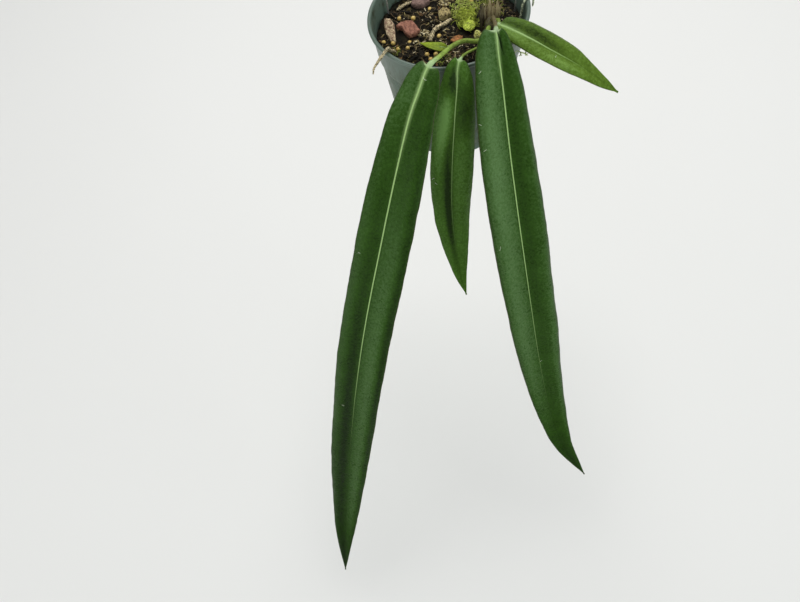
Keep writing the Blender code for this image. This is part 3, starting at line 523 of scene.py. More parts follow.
def build_light(light, power):
    data = bpy.data.lights.new(light.name, "AREA")
    data.shape = "RECTANGLE"
    data.size = light.width
    data.size_y = light.height
    data.energy = power * light.share
    data.color = light.tint
    turn, lift = radians(light.azimuth), radians(light.elevation)
    away = Vector((sin(turn) * cos(lift), -cos(turn) * cos(lift), sin(lift)))
    lamp = add_object(light.name, data)
    lamp.location = at(*LIT_PLACE) + away * light.distance
    lamp.rotation_euler = away.to_track_quat("Z", "Y").to_euler()


def build_floor(looks):
    mesh = bpy.data.meshes.new("floor")
    bm = bmesh.new()
    bmesh.ops.create_grid(bm, x_segments=1, y_segments=1, size=FLOOR_HALF)
    bm.to_mesh(mesh)
    bm.free()
    mesh.materials.append(layered("floor", 0.85, looks.floor_colour))
    ground = add_object("floor", mesh)
    ground.location = (0.0, 0.0, LOWEST_LEAF - looks.floor_gap)


class ANTHURIUM_OT_add_stage(bpy.types.Operator):
    """Add the camera, the soft lights and the pale floor"""
    bl_idname = "anthurium.add_stage"
    bl_label = "Stage"

    def execute(self, context):
        looks = context.scene.anthurium_stage
        build_camera(looks)
        build_floor(looks)
        build_light(LIGHTS[0], looks.key_power)
        for light in LIGHTS[1:]:
            build_light(light, looks.side_power)
        world = bpy.data.worlds.new("surroundings")
        world.use_nodes = True
        ground = world.node_tree.nodes["Background"]
        ground.inputs["Color"].default_value = (0.95, 0.975, 1.0, 1.0)
        ground.inputs["Strength"].default_value = looks.sky
        context.scene.world = world
        context.scene.view_settings.view_transform = "Standard"
        return {"FINISHED"}


# Pot and hanger

WALL = 1.3 * MM
RIM_BORE_RADIUS = 60.3 * MM
RIM_DEPTH = 3.2 * MM
BAND_DEPTH = 26.5 * MM
STEP_DEPTH = 31.5 * MM
BASE_RADIUS = 49.0 * MM
FOOT_WIDTH = 4.2 * MM
FOOT_HEIGHT = 2.0 * MM
DRAIN_RADIUS = 3.5 * MM
DRAIN_RING = 33.0 * MM
DRAIN_COUNT = 6
DRAIN_DRILL = 9 * MM
EDGE_ROUND = 0.5 * MM
ROUND_STEPS = 3
LIP_STEPS = 12

# Depths under the rim, and the outer radius of the pot's side at each
SIDE = ((RIM_DEPTH, 61.2 * MM), (BAND_DEPTH, 59.2 * MM), (STEP_DEPTH, 57.2 * MM),
        (POT_HEIGHT, BASE_RADIUS))


# Angle in degrees from which an edge of the pot stays crisp
POT_SHARP = 40

HANGER_TOP = (0.0, 0.0, 270.0)
HOOK_WIRE = 1.3 * MM
HOOK_BEND = 12.0 * MM
HOOK_EYE = 6.0 * MM
HOOK_EYE_START = 112
HOOK_EYE_SWEEP = 302
HOOK_EYE_DROP = 54.0
HOOK_EYE_STEPS = 40
STRAND_WIRE = 0.7 * MM
STRAND_EYE = 3.2 * MM
STRAND_EYE_SWEEP = 298
STRAND_EYE_STEPS = 32
WIRE_STEPS = 60
STRAND_HOLE_DEPTH = 23.4 * MM
STRAND_HOLE = 1.0 * MM
STRAND_DRILL = 6 * MM
STRAND_BEND = 2.0 * MM
STRAND_REACH = 2.0 * MM
STRAND_TIP = 5.0 * MM
STRANDS = {"left": (-1, (-41.5, 36.7)), "right": (1, (55.4, 0.0))}


def wall_radius(depth):
    """Outer radius of the pot's side at a depth under the rim."""
    for (high, above), (low, below) in zip(SIDE, SIDE[1:]):
        if depth < low:
            break
    return above + (below - above) * ((depth - high) / (low - high))


def rounded(corners, radius):
    """A profile whose inner corners are replaced by short arcs."""
    line = [corners[0]]
    for before, corner, after in zip(corners, corners[1:], corners[2:]):
        a, b, c = Vector(before), Vector(corner), Vector(after)
        cut = min(radius, (a - b).length / 2.2, (c - b).length / 2.2)
        start, end = b + (a - b).normalized() * cut, b + (c - b).normalized() * cut
        for i in range(ROUND_STEPS + 1):
            t = i / ROUND_STEPS
            line.append(tuple(start * (1 - t) ** 2 + b * (2 * t * (1 - t)) + end * t * t))
    line.append(corners[-1])
    return line


def pot_profile():
    """Distances from the axis and heights, from the floor's middle up and down to the foot."""
    base = -POT_HEIGHT + FOOT_HEIGHT + WALL
    inner = [(0.0, base), (BASE_RADIUS - 3.6 * MM, base), (wall_radius(-base) - WALL, base + 1.6 * MM)]
    inner += [(wall_radius(depth) - WALL, -depth) for depth in (STEP_DEPTH, BAND_DEPTH, RIM_DEPTH)]
    middle, half = (RIM_RADIUS + RIM_BORE_RADIUS) / 2, (RIM_RADIUS - RIM_BORE_RADIUS) / 2
    lip = []
    for i in range(LIP_STEPS + 1):
        turn = pi - pi * i / LIP_STEPS
        lip.append((middle + half * cos(turn), -RIM_DEPTH / 2 * (1 - sin(turn))))
    lip += [(RIM_RADIUS - 0.3 * MM, -RIM_DEPTH + 0.3 * MM), (RIM_RADIUS - 0.9 * MM, -RIM_DEPTH)]
    outer = [(wall_radius(depth), -depth) for depth in (RIM_DEPTH, BAND_DEPTH, STEP_DEPTH)]
    foot = [(wall_radius(POT_HEIGHT - 1.0 * MM), -POT_HEIGHT + 1.0 * MM),
            (BASE_RADIUS - 1.0 * MM, -POT_HEIGHT), (BASE_RADIUS - FOOT_WIDTH, -POT_HEIGHT),
            (BASE_RADIUS - FOOT_WIDTH - 1.2 * MM, -POT_HEIGHT + FOOT_HEIGHT),
            (0.0, -POT_HEIGHT + FOOT_HEIGHT)]
    return rounded(inner, EDGE_ROUND) + lip + rounded(outer + foot, EDGE_ROUND)


def drill(bm, centre, axis, radius, depth, sides):
    bmesh.ops.create_cone(bm, cap_ends=True, segments=sides, radius1=radius, radius2=radius,
                          depth=depth, matrix=Matrix.Translation(centre)
                          @ turned_to(axis).to_4x4())


def pot_drills():
    """Cutters of the drain holes and of the two holes that the wires pass through."""
    bm = bmesh.new()
    for i in range(DRAIN_COUNT):
        centre = polar(DRAIN_RING, 2 * pi * (i + 0.5) / DRAIN_COUNT,
                       RIM_TOP - POT_HEIGHT + FOOT_HEIGHT)
        drill(bm, centre, UP, DRAIN_RADIUS, DRAIN_DRILL, 32)
    for _, place in STRANDS.values():
        out = Vector((*place, 0.0)).normalized()
        centre = out * wall_radius(STRAND_HOLE_DEPTH) + UP * (RIM_TOP - STRAND_HOLE_DEPTH)
        drill(bm, centre, out, STRAND_HOLE, STRAND_DRILL, 20)
    mesh = bpy.data.meshes.new("pot_drills")
    bm.to_mesh(mesh)
    bm.free()
    return add_object("pot_drills", mesh)


def turn_profile(shape, profile, steps):
    """Faces of a profile turned about Z, with the share of each point along the profile."""
    last = len(profile) - 1
    start = shape.point(UP * (RIM_TOP + profile[0][1]), 0.0)
    rings = [shape.circle(steps, *profile[i], i / last) for i in range(1, last)]
    end = shape.point(UP * (RIM_TOP + profile[last][1]), 1.0)
    shape.fan(rings[0], start)
    shape.chain(rings, inward=True)
    shape.fan(rings[-1][::-1], end)


def pot_finish(looks):
    finish = Finish("pot_plastic", 0.42, Sheen_Roughness=0.3, Sheen_Tint=(1.0, 0.96, 0.82))
    share = finish.pattern("profile")
    finish.give(Specular_IOR_Level=finish.band(share, 0.54, 0.62, 0.5, 0.03),
                Sheen_Weight=finish.band(share, 0.54, 0.62, 0.0, 0.07))
    inner = finish.band(share, 0.28, 0.34, 1.0, 0.0)
    lip = finish.times(finish.band(share, 0.3, 0.34), finish.band(share, 0.6, 0.54))
    # Grime thickest on the outer wall and thin on the lip and inside: partly real grime, partly painted
    # shade on the wall
    grime_and_shade_share = finish.times(finish.band((5, 4, 0.66, (1.0, 1.0, 0.4)), 0.34, 0.68, 0.15, 0.9),
                        finish.band((1.2, 3, 0.7), 0.3, 0.65, 0.4, 1.0),
                        finish.band((24, 2), 0.35, 0.7, 0.6, 1.0),
                        finish.band(inner, 0.0, 1.0, 1.0, 0.12),
                        finish.band(lip, 0.0, 1.0, 1.0, 0.35))
    speck = finish.band(2.6, 0.1, 0.3, 0.25, 0.0)
    grime_and_shade_share = finish.math("ADD", grime_and_shade_share, finish.times(speck, 0.5), clamp=True)
    scuffs = finish.times(finish.band((2.6, 5, 0.7, (1.0, 1.0, 0.3)), 0.5, 0.72),
                          finish.band(share, 0.56, 0.64, 0.0, 0.55))
    # Darker patches on the inner wall
    inner_dark_patches = finish.times(inner, finish.band((9, 4, 0.65), 0.5, 0.68))
    colour = finish.mix(grime_and_shade_share, looks.plastic, looks.grime_and_painted_shade)
    colour = finish.mix(scuffs, colour, (0.24, 0.245, 0.215))
    finish.give(Base_Color=finish.mix(inner_dark_patches, colour, (0.03, 0.035, 0.02)),
                Roughness=finish.band(grime_and_shade_share, 0.0, 1.0, 0.32, 0.62))
    finish.bump(finish.plus(finish.pattern((0.7, 2)), finish.pattern((9, 2))), 0.06, 0.5)
    return finish.material


def build_pot(looks):
    shape = Shape("profile")
    turn_profile(shape, pot_profile(), looks.steps)
    pot = shape.show("pot_shell", pot_finish(looks), "pot_plastic", "pot")
    cutter = pot_drills()
    cut = pot.modifiers.new("Holes", "BOOLEAN")
    cut.operation = "DIFFERENCE"
    cut.object = cutter
    cut.solver = "EXACT"
    bpy.context.view_layer.update()
    mesh = bpy.data.meshes.new_from_object(pot.evaluated_get(bpy.context.evaluated_depsgraph_get()))
    pot.modifiers.clear()
    pot.data = mesh
    bpy.data.objects.remove(cutter, do_unlink=True)
    mesh.set_sharp_from_angle(angle=radians(POT_SHARP))


def hook_route():
    """Rail hook: an open bend above, a straight shank and a closed eye below."""
    bend = HOOK_BEND + HOOK_WIRE
    top = at(*HANGER_TOP)
    route = [top + Vector((17.5, 0, -23.5)) * MM]
    for i in range(9):
        turn = pi * i / 8
        route.append(top + Vector((bend * cos(turn), 0, -HOOK_BEND + bend * sin(turn))))
    for x, z in ((-10.5, -22.5), (-3.5, -30.0), (0.0, -37.5)):
        route.append(top + Vector((x, 0, z)) * MM)
    eye = top - UP * HOOK_EYE_DROP * MM
    places = Route(route, 8).even(WIRE_STEPS)
    places.append(eye + UP * (HOOK_EYE + 3 * MM))
    for i in range(HOOK_EYE_STEPS + 1):
        turn = radians(HOOK_EYE_START + HOOK_EYE_SWEEP * i / HOOK_EYE_STEPS)
        places.append(eye + HOOK_EYE * Vector((cos(turn), 0, sin(turn))))
    return places, eye


def strand_route(side, place, eye_middle):
    """Eye at the hook, a long lean down to the pot, and a bent foot through its wall."""
    eye = eye_middle + Vector((side * 1.2 * MM, 0, -HOOK_EYE - 0.8 * MM))
    points = []
    for i in range(STRAND_EYE_STEPS + 1):
        turn = radians(STRAND_EYE_SWEEP) * (1 - i / STRAND_EYE_STEPS)
        points.append(eye + STRAND_EYE * Vector((0, -side * cos(turn), sin(turn))))
    x, y = place
    down = [eye + Vector((side * 0.4 * MM, -side * STRAND_EYE, -6 * MM)),
            eye + Vector((x * 0.1 * MM, y * 0.1 * MM, -30 * MM)),
            at(x * 0.93, y * 0.93, 52), at(x, y, 24), at(x, y, 4)]
    points += Route([points[-1]] + down, 12).even(WIRE_STEPS)[1:]
    out = Vector((x, y, 0.0)).normalized()
    lift = UP * (RIM_TOP + STRAND_BEND - STRAND_HOLE_DEPTH)
    outside = wall_radius(STRAND_HOLE_DEPTH) + STRAND_REACH
    bends = [(sqrt(x * x + y * y) * MM + STRAND_BEND * (1 - cos(pi / 16 * i)), sin(pi / 16 * i))
             for i in range(9)]
    bends += [(outside - STRAND_BEND * (1 - sin(pi / 16 * i)), cos(pi / 16 * i)) for i in range(9)]
    points += [out * reach + lift - UP * STRAND_BEND * drop for reach, drop in bends]
    points.append(out * outside + UP * (RIM_TOP + STRAND_TIP - STRAND_HOLE_DEPTH))
    return points


def wire_finish(looks):
    mottle = (2.5, 3, 0.6)
    finish = Finish("galvanised_wire", 0.34, Metallic=0.85)
    finish.give(Base_Color=finish.layers(looks.steel, (mottle, (0.35, 0.7), (0.8, 0.83, 0.84))),
                Roughness=finish.band(mottle, 0.3, 0.7, 0.26, 0.46))
    finish.bump(finish.pattern((0.5, 2)), 0.02, 0.5)
    return finish.material


def build_hanger(looks):
    finish = wire_finish(looks)
    hook, eye = hook_route()
    shape = Shape()
    shape.tube(hook, HOOK_WIRE, 16)
    shape.show("hook_wire", finish, "wire", "hanger_hook")
    for name, (side, place) in STRANDS.items():
        shape = Shape()
        shape.tube(strand_route(side, place, eye), STRAND_WIRE, 12)
        shape.show("wire_" + name, finish, "wire", "hanger_wire_" + name)


class ANTHURIUM_OT_add_pot(bpy.types.Operator):
    """Add the pot, its two wires and the rail hook"""
    bl_idname = "anthurium.add_pot"
    bl_label = "Pot and hanger"

    def execute(self, context):
        build_pot(context.scene.anthurium_pot)
        build_hanger(context.scene.anthurium_pot)
        return {"FINISHED"}


# Potting mix

MIX_MIDDLE = -13.5 * MM
MIX_FALL = 5.5 * MM
MIX_LUMP = 1.7 * MM
MIX_GRAIN = 1.0 * MM
MIX_SEAT_EDGE = 5.0 * MM
MIX_RINGS = 62
MIX_STEPS = 260
MIX_GAP = 0.4 * MM
MIX_EDGE_DEPTH = 19 * MM
MIX_SIDE_DEPTHS = (27 * MM, 32 * MM)
MIX_FOOT_RADIUS = BASE_RADIUS - 6.5 * MM
MIX_FOOT = -POT_HEIGHT + FOOT_HEIGHT + WALL + 0.3 * MM
CHIP_REACH = 54.5
BEAD_RADIUS = 1.9 * MM
BEAD_SPACE_SQUARED = 30

# Places kept level for what lies on the mix: both ends of the spot, its reach, its height
SEATS = [
    ((30, -15), (20, -21), 9.0, -15.6),
    ((28, -20), (12, -37), 3.4, -16.4),
    ((-27, 11), (-34, 5), 10.5, -15.8),
    ((-17, 37), (-9, 36), 7.5, -17.4),
    ((-43, 26), (-46, 2), 5.5, -17.6),
    ((0, 13), (1, 13), 6.0, -15.4),
    ((14, 3), (15, -9), 9.5, -15.4),
    ((4, 6), (-7, 1), 2.6, -15.6),
    ((-7, 1), (-13, -2), 2.6, -15.6),
    ((-13, -2), (-18, -12), 2.6, -15.6),
    ((-34, 38), (-19, 43), 2.4, -18.4),
    ((0, -17), (5, -16), 5.5, -15.8),
    ((-4.5, -24.5), (-4.5, -24.5), 3.0, -16.2),
    ((-46.8, -11), (-47.2, -12), 3.0, -18.4),
    ((55, -13), (55, -13), 3.0, -19.0),
    ((35, -42), (35, -42), 3.0, -19.0),
]

# Fertiliser beads seen on the mix
BEADS = [(-9, 23.5), (-24, 20.5), (-34.5, 26), (-46, 0), (-43.5, -8), (-36.5, -11.5), (-33.5, -6.5),
         (-24, -25)]

# Heaps of pale crumbs: middle, reach, number
CRUMBS = (((-20.5, -1.5), 4.6, 70), ((4.0, 26.5), 4.8, 80), ((-28.0, -10.0), 3.0, 24),
          ((-6.0, -36.0), 6.0, 30))


def seat_distance(x, y, seat):
    """How far a place is beyond a seat's reach, in millimetres."""
    start, end, reach, _ = seat
    along = Vector(end) - Vector(start)
    away = Vector((x, y)) - Vector(start)
    share = 0.0
    if along.length_squared > 0:
        share = min(max(away.dot(along) / along.length_squared, 0.0), 1.0)
    return (away - along * share).length - reach


def nearest_seat(x, y):
    return min(seat_distance(x, y, seat) for seat in SEATS)


def mix_height(x, y):
    """Height of the mix over the rim, in metres, at a place in millimetres."""
    reach = sqrt(x * x + y * y) * MM / RIM_RADIUS
    uneven = lump(x * 0.13, y * 0.13, 4.2) + 0.6 * lump(x * 0.31, y * 0.31, 9.1)
    height = MIX_MIDDLE - MIX_FALL * reach * reach + MIX_LUMP * uneven
    for seat in SEATS:
        hold = smooth_step(seat_distance(x, y, seat) * MM / MIX_SEAT_EDGE, 1.0, 0.0)
        height += (seat[3] * MM - height) * hold
    return height


def mix_top(x, y):
    """The same surface with its crumbs, in the frame's metres."""
    crumb = lump(x * 0.62, y * 0.62, 1.7) + 0.7 * lump(x * 1.3, y * 1.3, 6.3)
    return RIM_TOP + mix_height(x, y) + MIX_GRAIN * crumb * smooth_step(nearest_seat(x, y), -1, 3)


def on_mix(x, y, lift=0.0):
    """A place on the mix in the frame's metres, lifted by some millimetres."""
    return Vector((x * MM, y * MM, mix_top(x, y) + lift * MM))


def scatter(rng, clearance):
    """A random place on the mix, in millimetres, clear of what lies on it."""
    while True:
        reach = CHIP_REACH * sqrt(rng.random())
        turn = rng.uniform(0, 2 * pi)
        x, y = reach * cos(turn), reach * sin(turn)
        if nearest_seat(x, y) > clearance:
            return x, y


def beside(rng, middle, reach):
    """A random place in a disc, in millimetres."""
    turn, away = rng.uniform(0, 2 * pi), reach * sqrt(rng.random())
    return middle[0] + away * cos(turn), middle[1] + away * sin(turn)


def build_ground(looks):
    """The body of the mix: a crumbly top inside the pot, closed below."""
    shape = Shape()
    edge = (wall_radius(MIX_EDGE_DEPTH) - WALL - MIX_GAP) / MM
    middle = shape.point(on_mix(0, 0))
    rings = []
    for i in range(1, MIX_RINGS + 1):
        ring = []
        for j in range(MIX_STEPS):
            turn = 2 * pi * (j + 0.5 * (i % 2)) / MIX_STEPS
            x, y = edge * i / MIX_RINGS * cos(turn), edge * i / MIX_RINGS * sin(turn)
            ring.append(shape.point(on_mix(x, y)))
        rings.append(ring)
    for depth in MIX_SIDE_DEPTHS:
        rings.append(shape.circle(MIX_STEPS, wall_radius(depth) - WALL - MIX_GAP, -depth))
    rings.append(shape.circle(MIX_STEPS, MIX_FOOT_RADIUS, MIX_FOOT))
    shape.fan(rings[0], middle)
    shape.chain(rings, inward=True)
    shape.cap(rings[-1][::-1], UP * (RIM_TOP + MIX_FOOT))
    grain = (1.1, 3, 0.7)
    # The near-black base is partly the damp mix's colour and partly painted shade in the gaps between
    # chips
    finish = layered("bark_mix", 0.9, looks.dark,
                     ((7, 4, 0.65), (0.42, 0.72), looks.brown),
                     (grain, (0.55, 0.8, 0.0, 0.5), (0.1, 0.065, 0.03)),
                     ((5, 2), (0.6, 0.75, 0.0, 0.35), (0.045, 0.06, 0.015)),
                     bump=(grain, (0.45, 2, 0.7), 0.5, 0.8), Specular_IOR_Level=0.15)
    shape.show("mix_body", finish, "bark_mix", "potting_mix")


def build_chips(looks):
    """Broken bark chips and splinters of every brown, half sunk in the mix."""
    rng = random.Random(21)
    shape = Shape("tint")
    for _ in range(looks.chips):
        size = 0.45 + 1.9 * rng.random() ** 2.6
        x, y = scatter(rng, 0.6 * size if size > 0.9 else size - 3.0)
        length, width, thick = size * rng.uniform(0.9, 1.9), size * rng.uniform(0.4, 0.85), size * 0.4
        lean = spun(rng.uniform(0, 2 * pi), rng.uniform(-0.7, 0.7), rng.uniform(-0.6, 0.6))
        tint = rng.random() if size < 1.6 else 0.85 * rng.random()
        shape.splinter(on_mix(x, y, 0.25 * size), Vector((length, width, thick)) * MM, lean, rng, tint)
    grain = (0.7, 3, 0.7)
    finish = layered("bark_chips", 0.8, (0.004, 0.0035, 0.002),
                     ("tint", (0.2, 0.66), (0.022, 0.016, 0.008)),
                     ("tint", (0.68, 0.76), (0.11, 0.085, 0.03)),
                     ("tint", (0.8, 0.85), (0.24, 0.12, 0.045)),
                     ("tint", (0.88, 0.92), (0.44, 0.33, 0.14)),
                     ("tint", (0.955, 0.98), (0.72, 0.62, 0.38)),
                     (grain, (0.35, 0.8, 0.55, 0.0), (0.01, 0.008, 0.004)),
                     bump=(grain, 0.3, 0.9), Specular_IOR_Level=0.2)
    shape.show("mix_chips", finish, "bark_mix", sharp=30)


def fibre_finish():
    return layered("mix_fibres", 0.8, (0.03, 0.02, 0.01),
                   ("tint", (0.2, 0.6), (0.13, 0.08, 0.035)),
                   ("tint", (0.6, 1.0), (0.42, 0.33, 0.17)),
                   ((0.8, 2), (0.4, 0.7, 0.0, 0.4), (0.05, 0.035, 0.018)),
                   bump=((0.3, 2), 0.08, 0.8))


def build_fibres(looks):
    """Loose fibres that lie over the chips in low curves."""
    rng = random.Random(33)
    shape = Shape("tint")
    for _ in range(looks.fibres):
        x, y = scatter(rng, 0.5)
        turn, bend = rng.uniform(0, 2 * pi), rng.uniform(-0.32, 0.32)
        step, thick = rng.uniform(0.6, 1.6), rng.uniform(0.1, 0.3) * MM
        lift = rng.uniform(0.2, 1.5)
        places = []
        for i in range(FIBRE_STEPS):
            if sqrt(x * x + y * y) > CHIP_REACH + 1:
                break
            places.append(on_mix(x, y, 0.3 + lift * sin(pi * i / (FIBRE_STEPS - 1))))
            turn += bend + rng.uniform(-0.15, 0.15)
            x, y = x + step * cos(turn), y + step * sin(turn)
        if len(places) > 3:
            shape.tube(places, tapered(thick, len(places), len(places)), 5, rng.random())
    shape.show("mix_fibres", fibre_finish(), "bark_mix")


def build_beads(looks):
    """Round fertiliser beads, each a little sunk."""
    rng = random.Random(8)
    shape = Shape()
    places = list(BEADS)
    while len(places) < len(BEADS) + looks.beads:
        x, y = scatter(rng, 1.5)
        if all((x - a) ** 2 + (y - b) ** 2 > BEAD_SPACE_SQUARED for a, b in places):
            places.append((x, y))
    for x, y in places:
        radius = BEAD_RADIUS * rng.uniform(0.84, 1.0)
        centre = Vector((x * MM, y * MM, RIM_TOP + mix_height(x, y) + 1.0 * MM))
        shape.ball(centre, Vector((1.0, 1.0, 0.95)) * radius, UNTURNED, 20, 14, rough=0.08, fine=1.4)
    mottle = (1.6, 3, 0.6)
    finish = layered("fertiliser_beads", 0.38, looks.bead,
                     (mottle, (0.35, 0.7), (0.62, 0.47, 0.16)),
                     ((0.7, 2), (0.62, 0.75, 0.0, 0.5), (0.2, 0.12, 0.04)),
                     bump=(mottle, 0.12, 0.6))
    shape.show("mix_beads", finish, "bark_mix")


def build_grit(looks):
    """Pale slivers and grains among the chips, and heaps of pale crumbs."""
    rng = random.Random(55)
    shape = Shape("tint")
    for _ in range(looks.grit):
        x, y = scatter(rng, 0.2)
        size = rng.uniform(0.35, 0.85)
        spin = spun(rng.uniform(0, 2 * pi), 0.0, rng.uniform(-0.6, 0.6))
        sides = Vector((size * rng.uniform(1.0, 3.4), size * 0.6, size * 0.5)) * MM
        shape.splinter(on_mix(x, y, 0.8), sides, spin, rng, rng.random())
    for middle, reach, count in CRUMBS:
        for _ in range(count):
            x, y = beside(rng, middle, reach)
            size = rng.uniform(0.5, 1.15)
            shape.ball(on_mix(x, y, rng.uniform(0.4, 1.8)), Vector((size, size * 0.8, size * 0.6)) * MM,
                       spun(rng.uniform(0, 2 * pi)), 7, 5, rng.uniform(-0.6, 0.9), rough=0.5, fine=2.0)
    finish = layered("mix_grit", 0.75, (0.07, 0.05, 0.02),
                     ("tint", (-0.6, 0.3), (0.34, 0.27, 0.11)),
                     ("tint", (0.4, 0.85), (0.78, 0.7, 0.46)),
                     ((0.9, 3), (0.45, 0.75, 0.0, 0.6), (0.14, 0.09, 0.035)),
                     bump=((0.5, 3), 0.2, 0.8))
    shape.show("mix_grit", finish, "bark_mix", sharp=30)


class ANTHURIUM_OT_add_mix(bpy.types.Operator):
    """Add the bark mix with its chips, fibres, beads and pale grit"""
    bl_idname = "anthurium.add_mix"
    bl_label = "Bark mix"

    def execute(self, context):
        for build in (build_ground, build_chips, build_fibres, build_beads, build_grit):
            build(context.scene.anthurium_mix)
        return {"FINISHED"}


# Leaves

BLADE_EDGE = 0.6 * MM
BLADE_THICKNESS = 0.8 * MM
BLADE_TIP_HALF = 0.7 * MM
BLADE_STEP = 1.9 * MM
BLADE_START_STEPS = 6
BLADE_START = 0.0015
LOBE_SHARE = 0.06
CREASE_HALF = 0.11
EDGE_WANDER = 0.42 * MM
EDGE_WANDER_LENGTH = 16 * MM
RIB_RIDGE = 0.42 * MM
RIB_KEEL = 0.95 * MM
RIB_HALF = 0.6 * MM
RIB_FADE = 0.75
RIB_FULL_WIDTH = 4.0 * MM
PETIOLE_STEP = 1.2 * MM
PETIOLE_FLARE = 0.15
JOINT_SWELL = 1.3
JOINT_LENGTH = 3.2 * MM
ACROSS_HALF = 22
RING_SIDES = 2 * (2 * ACROSS_HALF + 1)
VEIN_SLANT = 1.5

# What a leaf has unless it says otherwise: the base's lobes and the edge's waves in millimetres,
# nicks in the edge, the midrib's size, how the halves fold up and roll down, a fold line beside
# the midrib, and patches of painted sheen (above 0) and painted shade (below 0)
LEAF_SHAPE = {"lobe": 3.5, "wave": 0.9, "waves": 4.0, "nicks": (), "rib": 1.0, "fold": 0.2,
              "roll_start": 0.55, "roll": 1.0, "crease": None, "tones": ()}

LINT_HALF = 0.13 * MM
LINT_LIFT = 0.9 * MM
LINT_ARCH = 0.5 * MM


def across_shares():
    """Shares of the half width at which a blade has its points, close at the midrib."""
    steps = [i / ACROSS_HALF for i in range(1, ACROSS_HALF + 1)]
    half = [0.55 * t ** 1.9 + 0.45 * (1 - (1 - t) ** 1.5) for t in steps]
    return [-v for v in reversed(half)] + [0.0] + half


class Side(namedtuple("Side", "half_width widest rise fall")):
    """Outline of one half of a blade: round at the base, drawn out to the tip."""

    def reach(self, share):
        if share < self.widest:
            return self.half_width * MM * (1.0 - (1.0 - share / self.widest) ** 2) ** self.rise
        past = (share - self.widest) / (1.0 - self.widest)
        return self.half_width * MM * max(1.0 - past ** self.fall, 0.0)


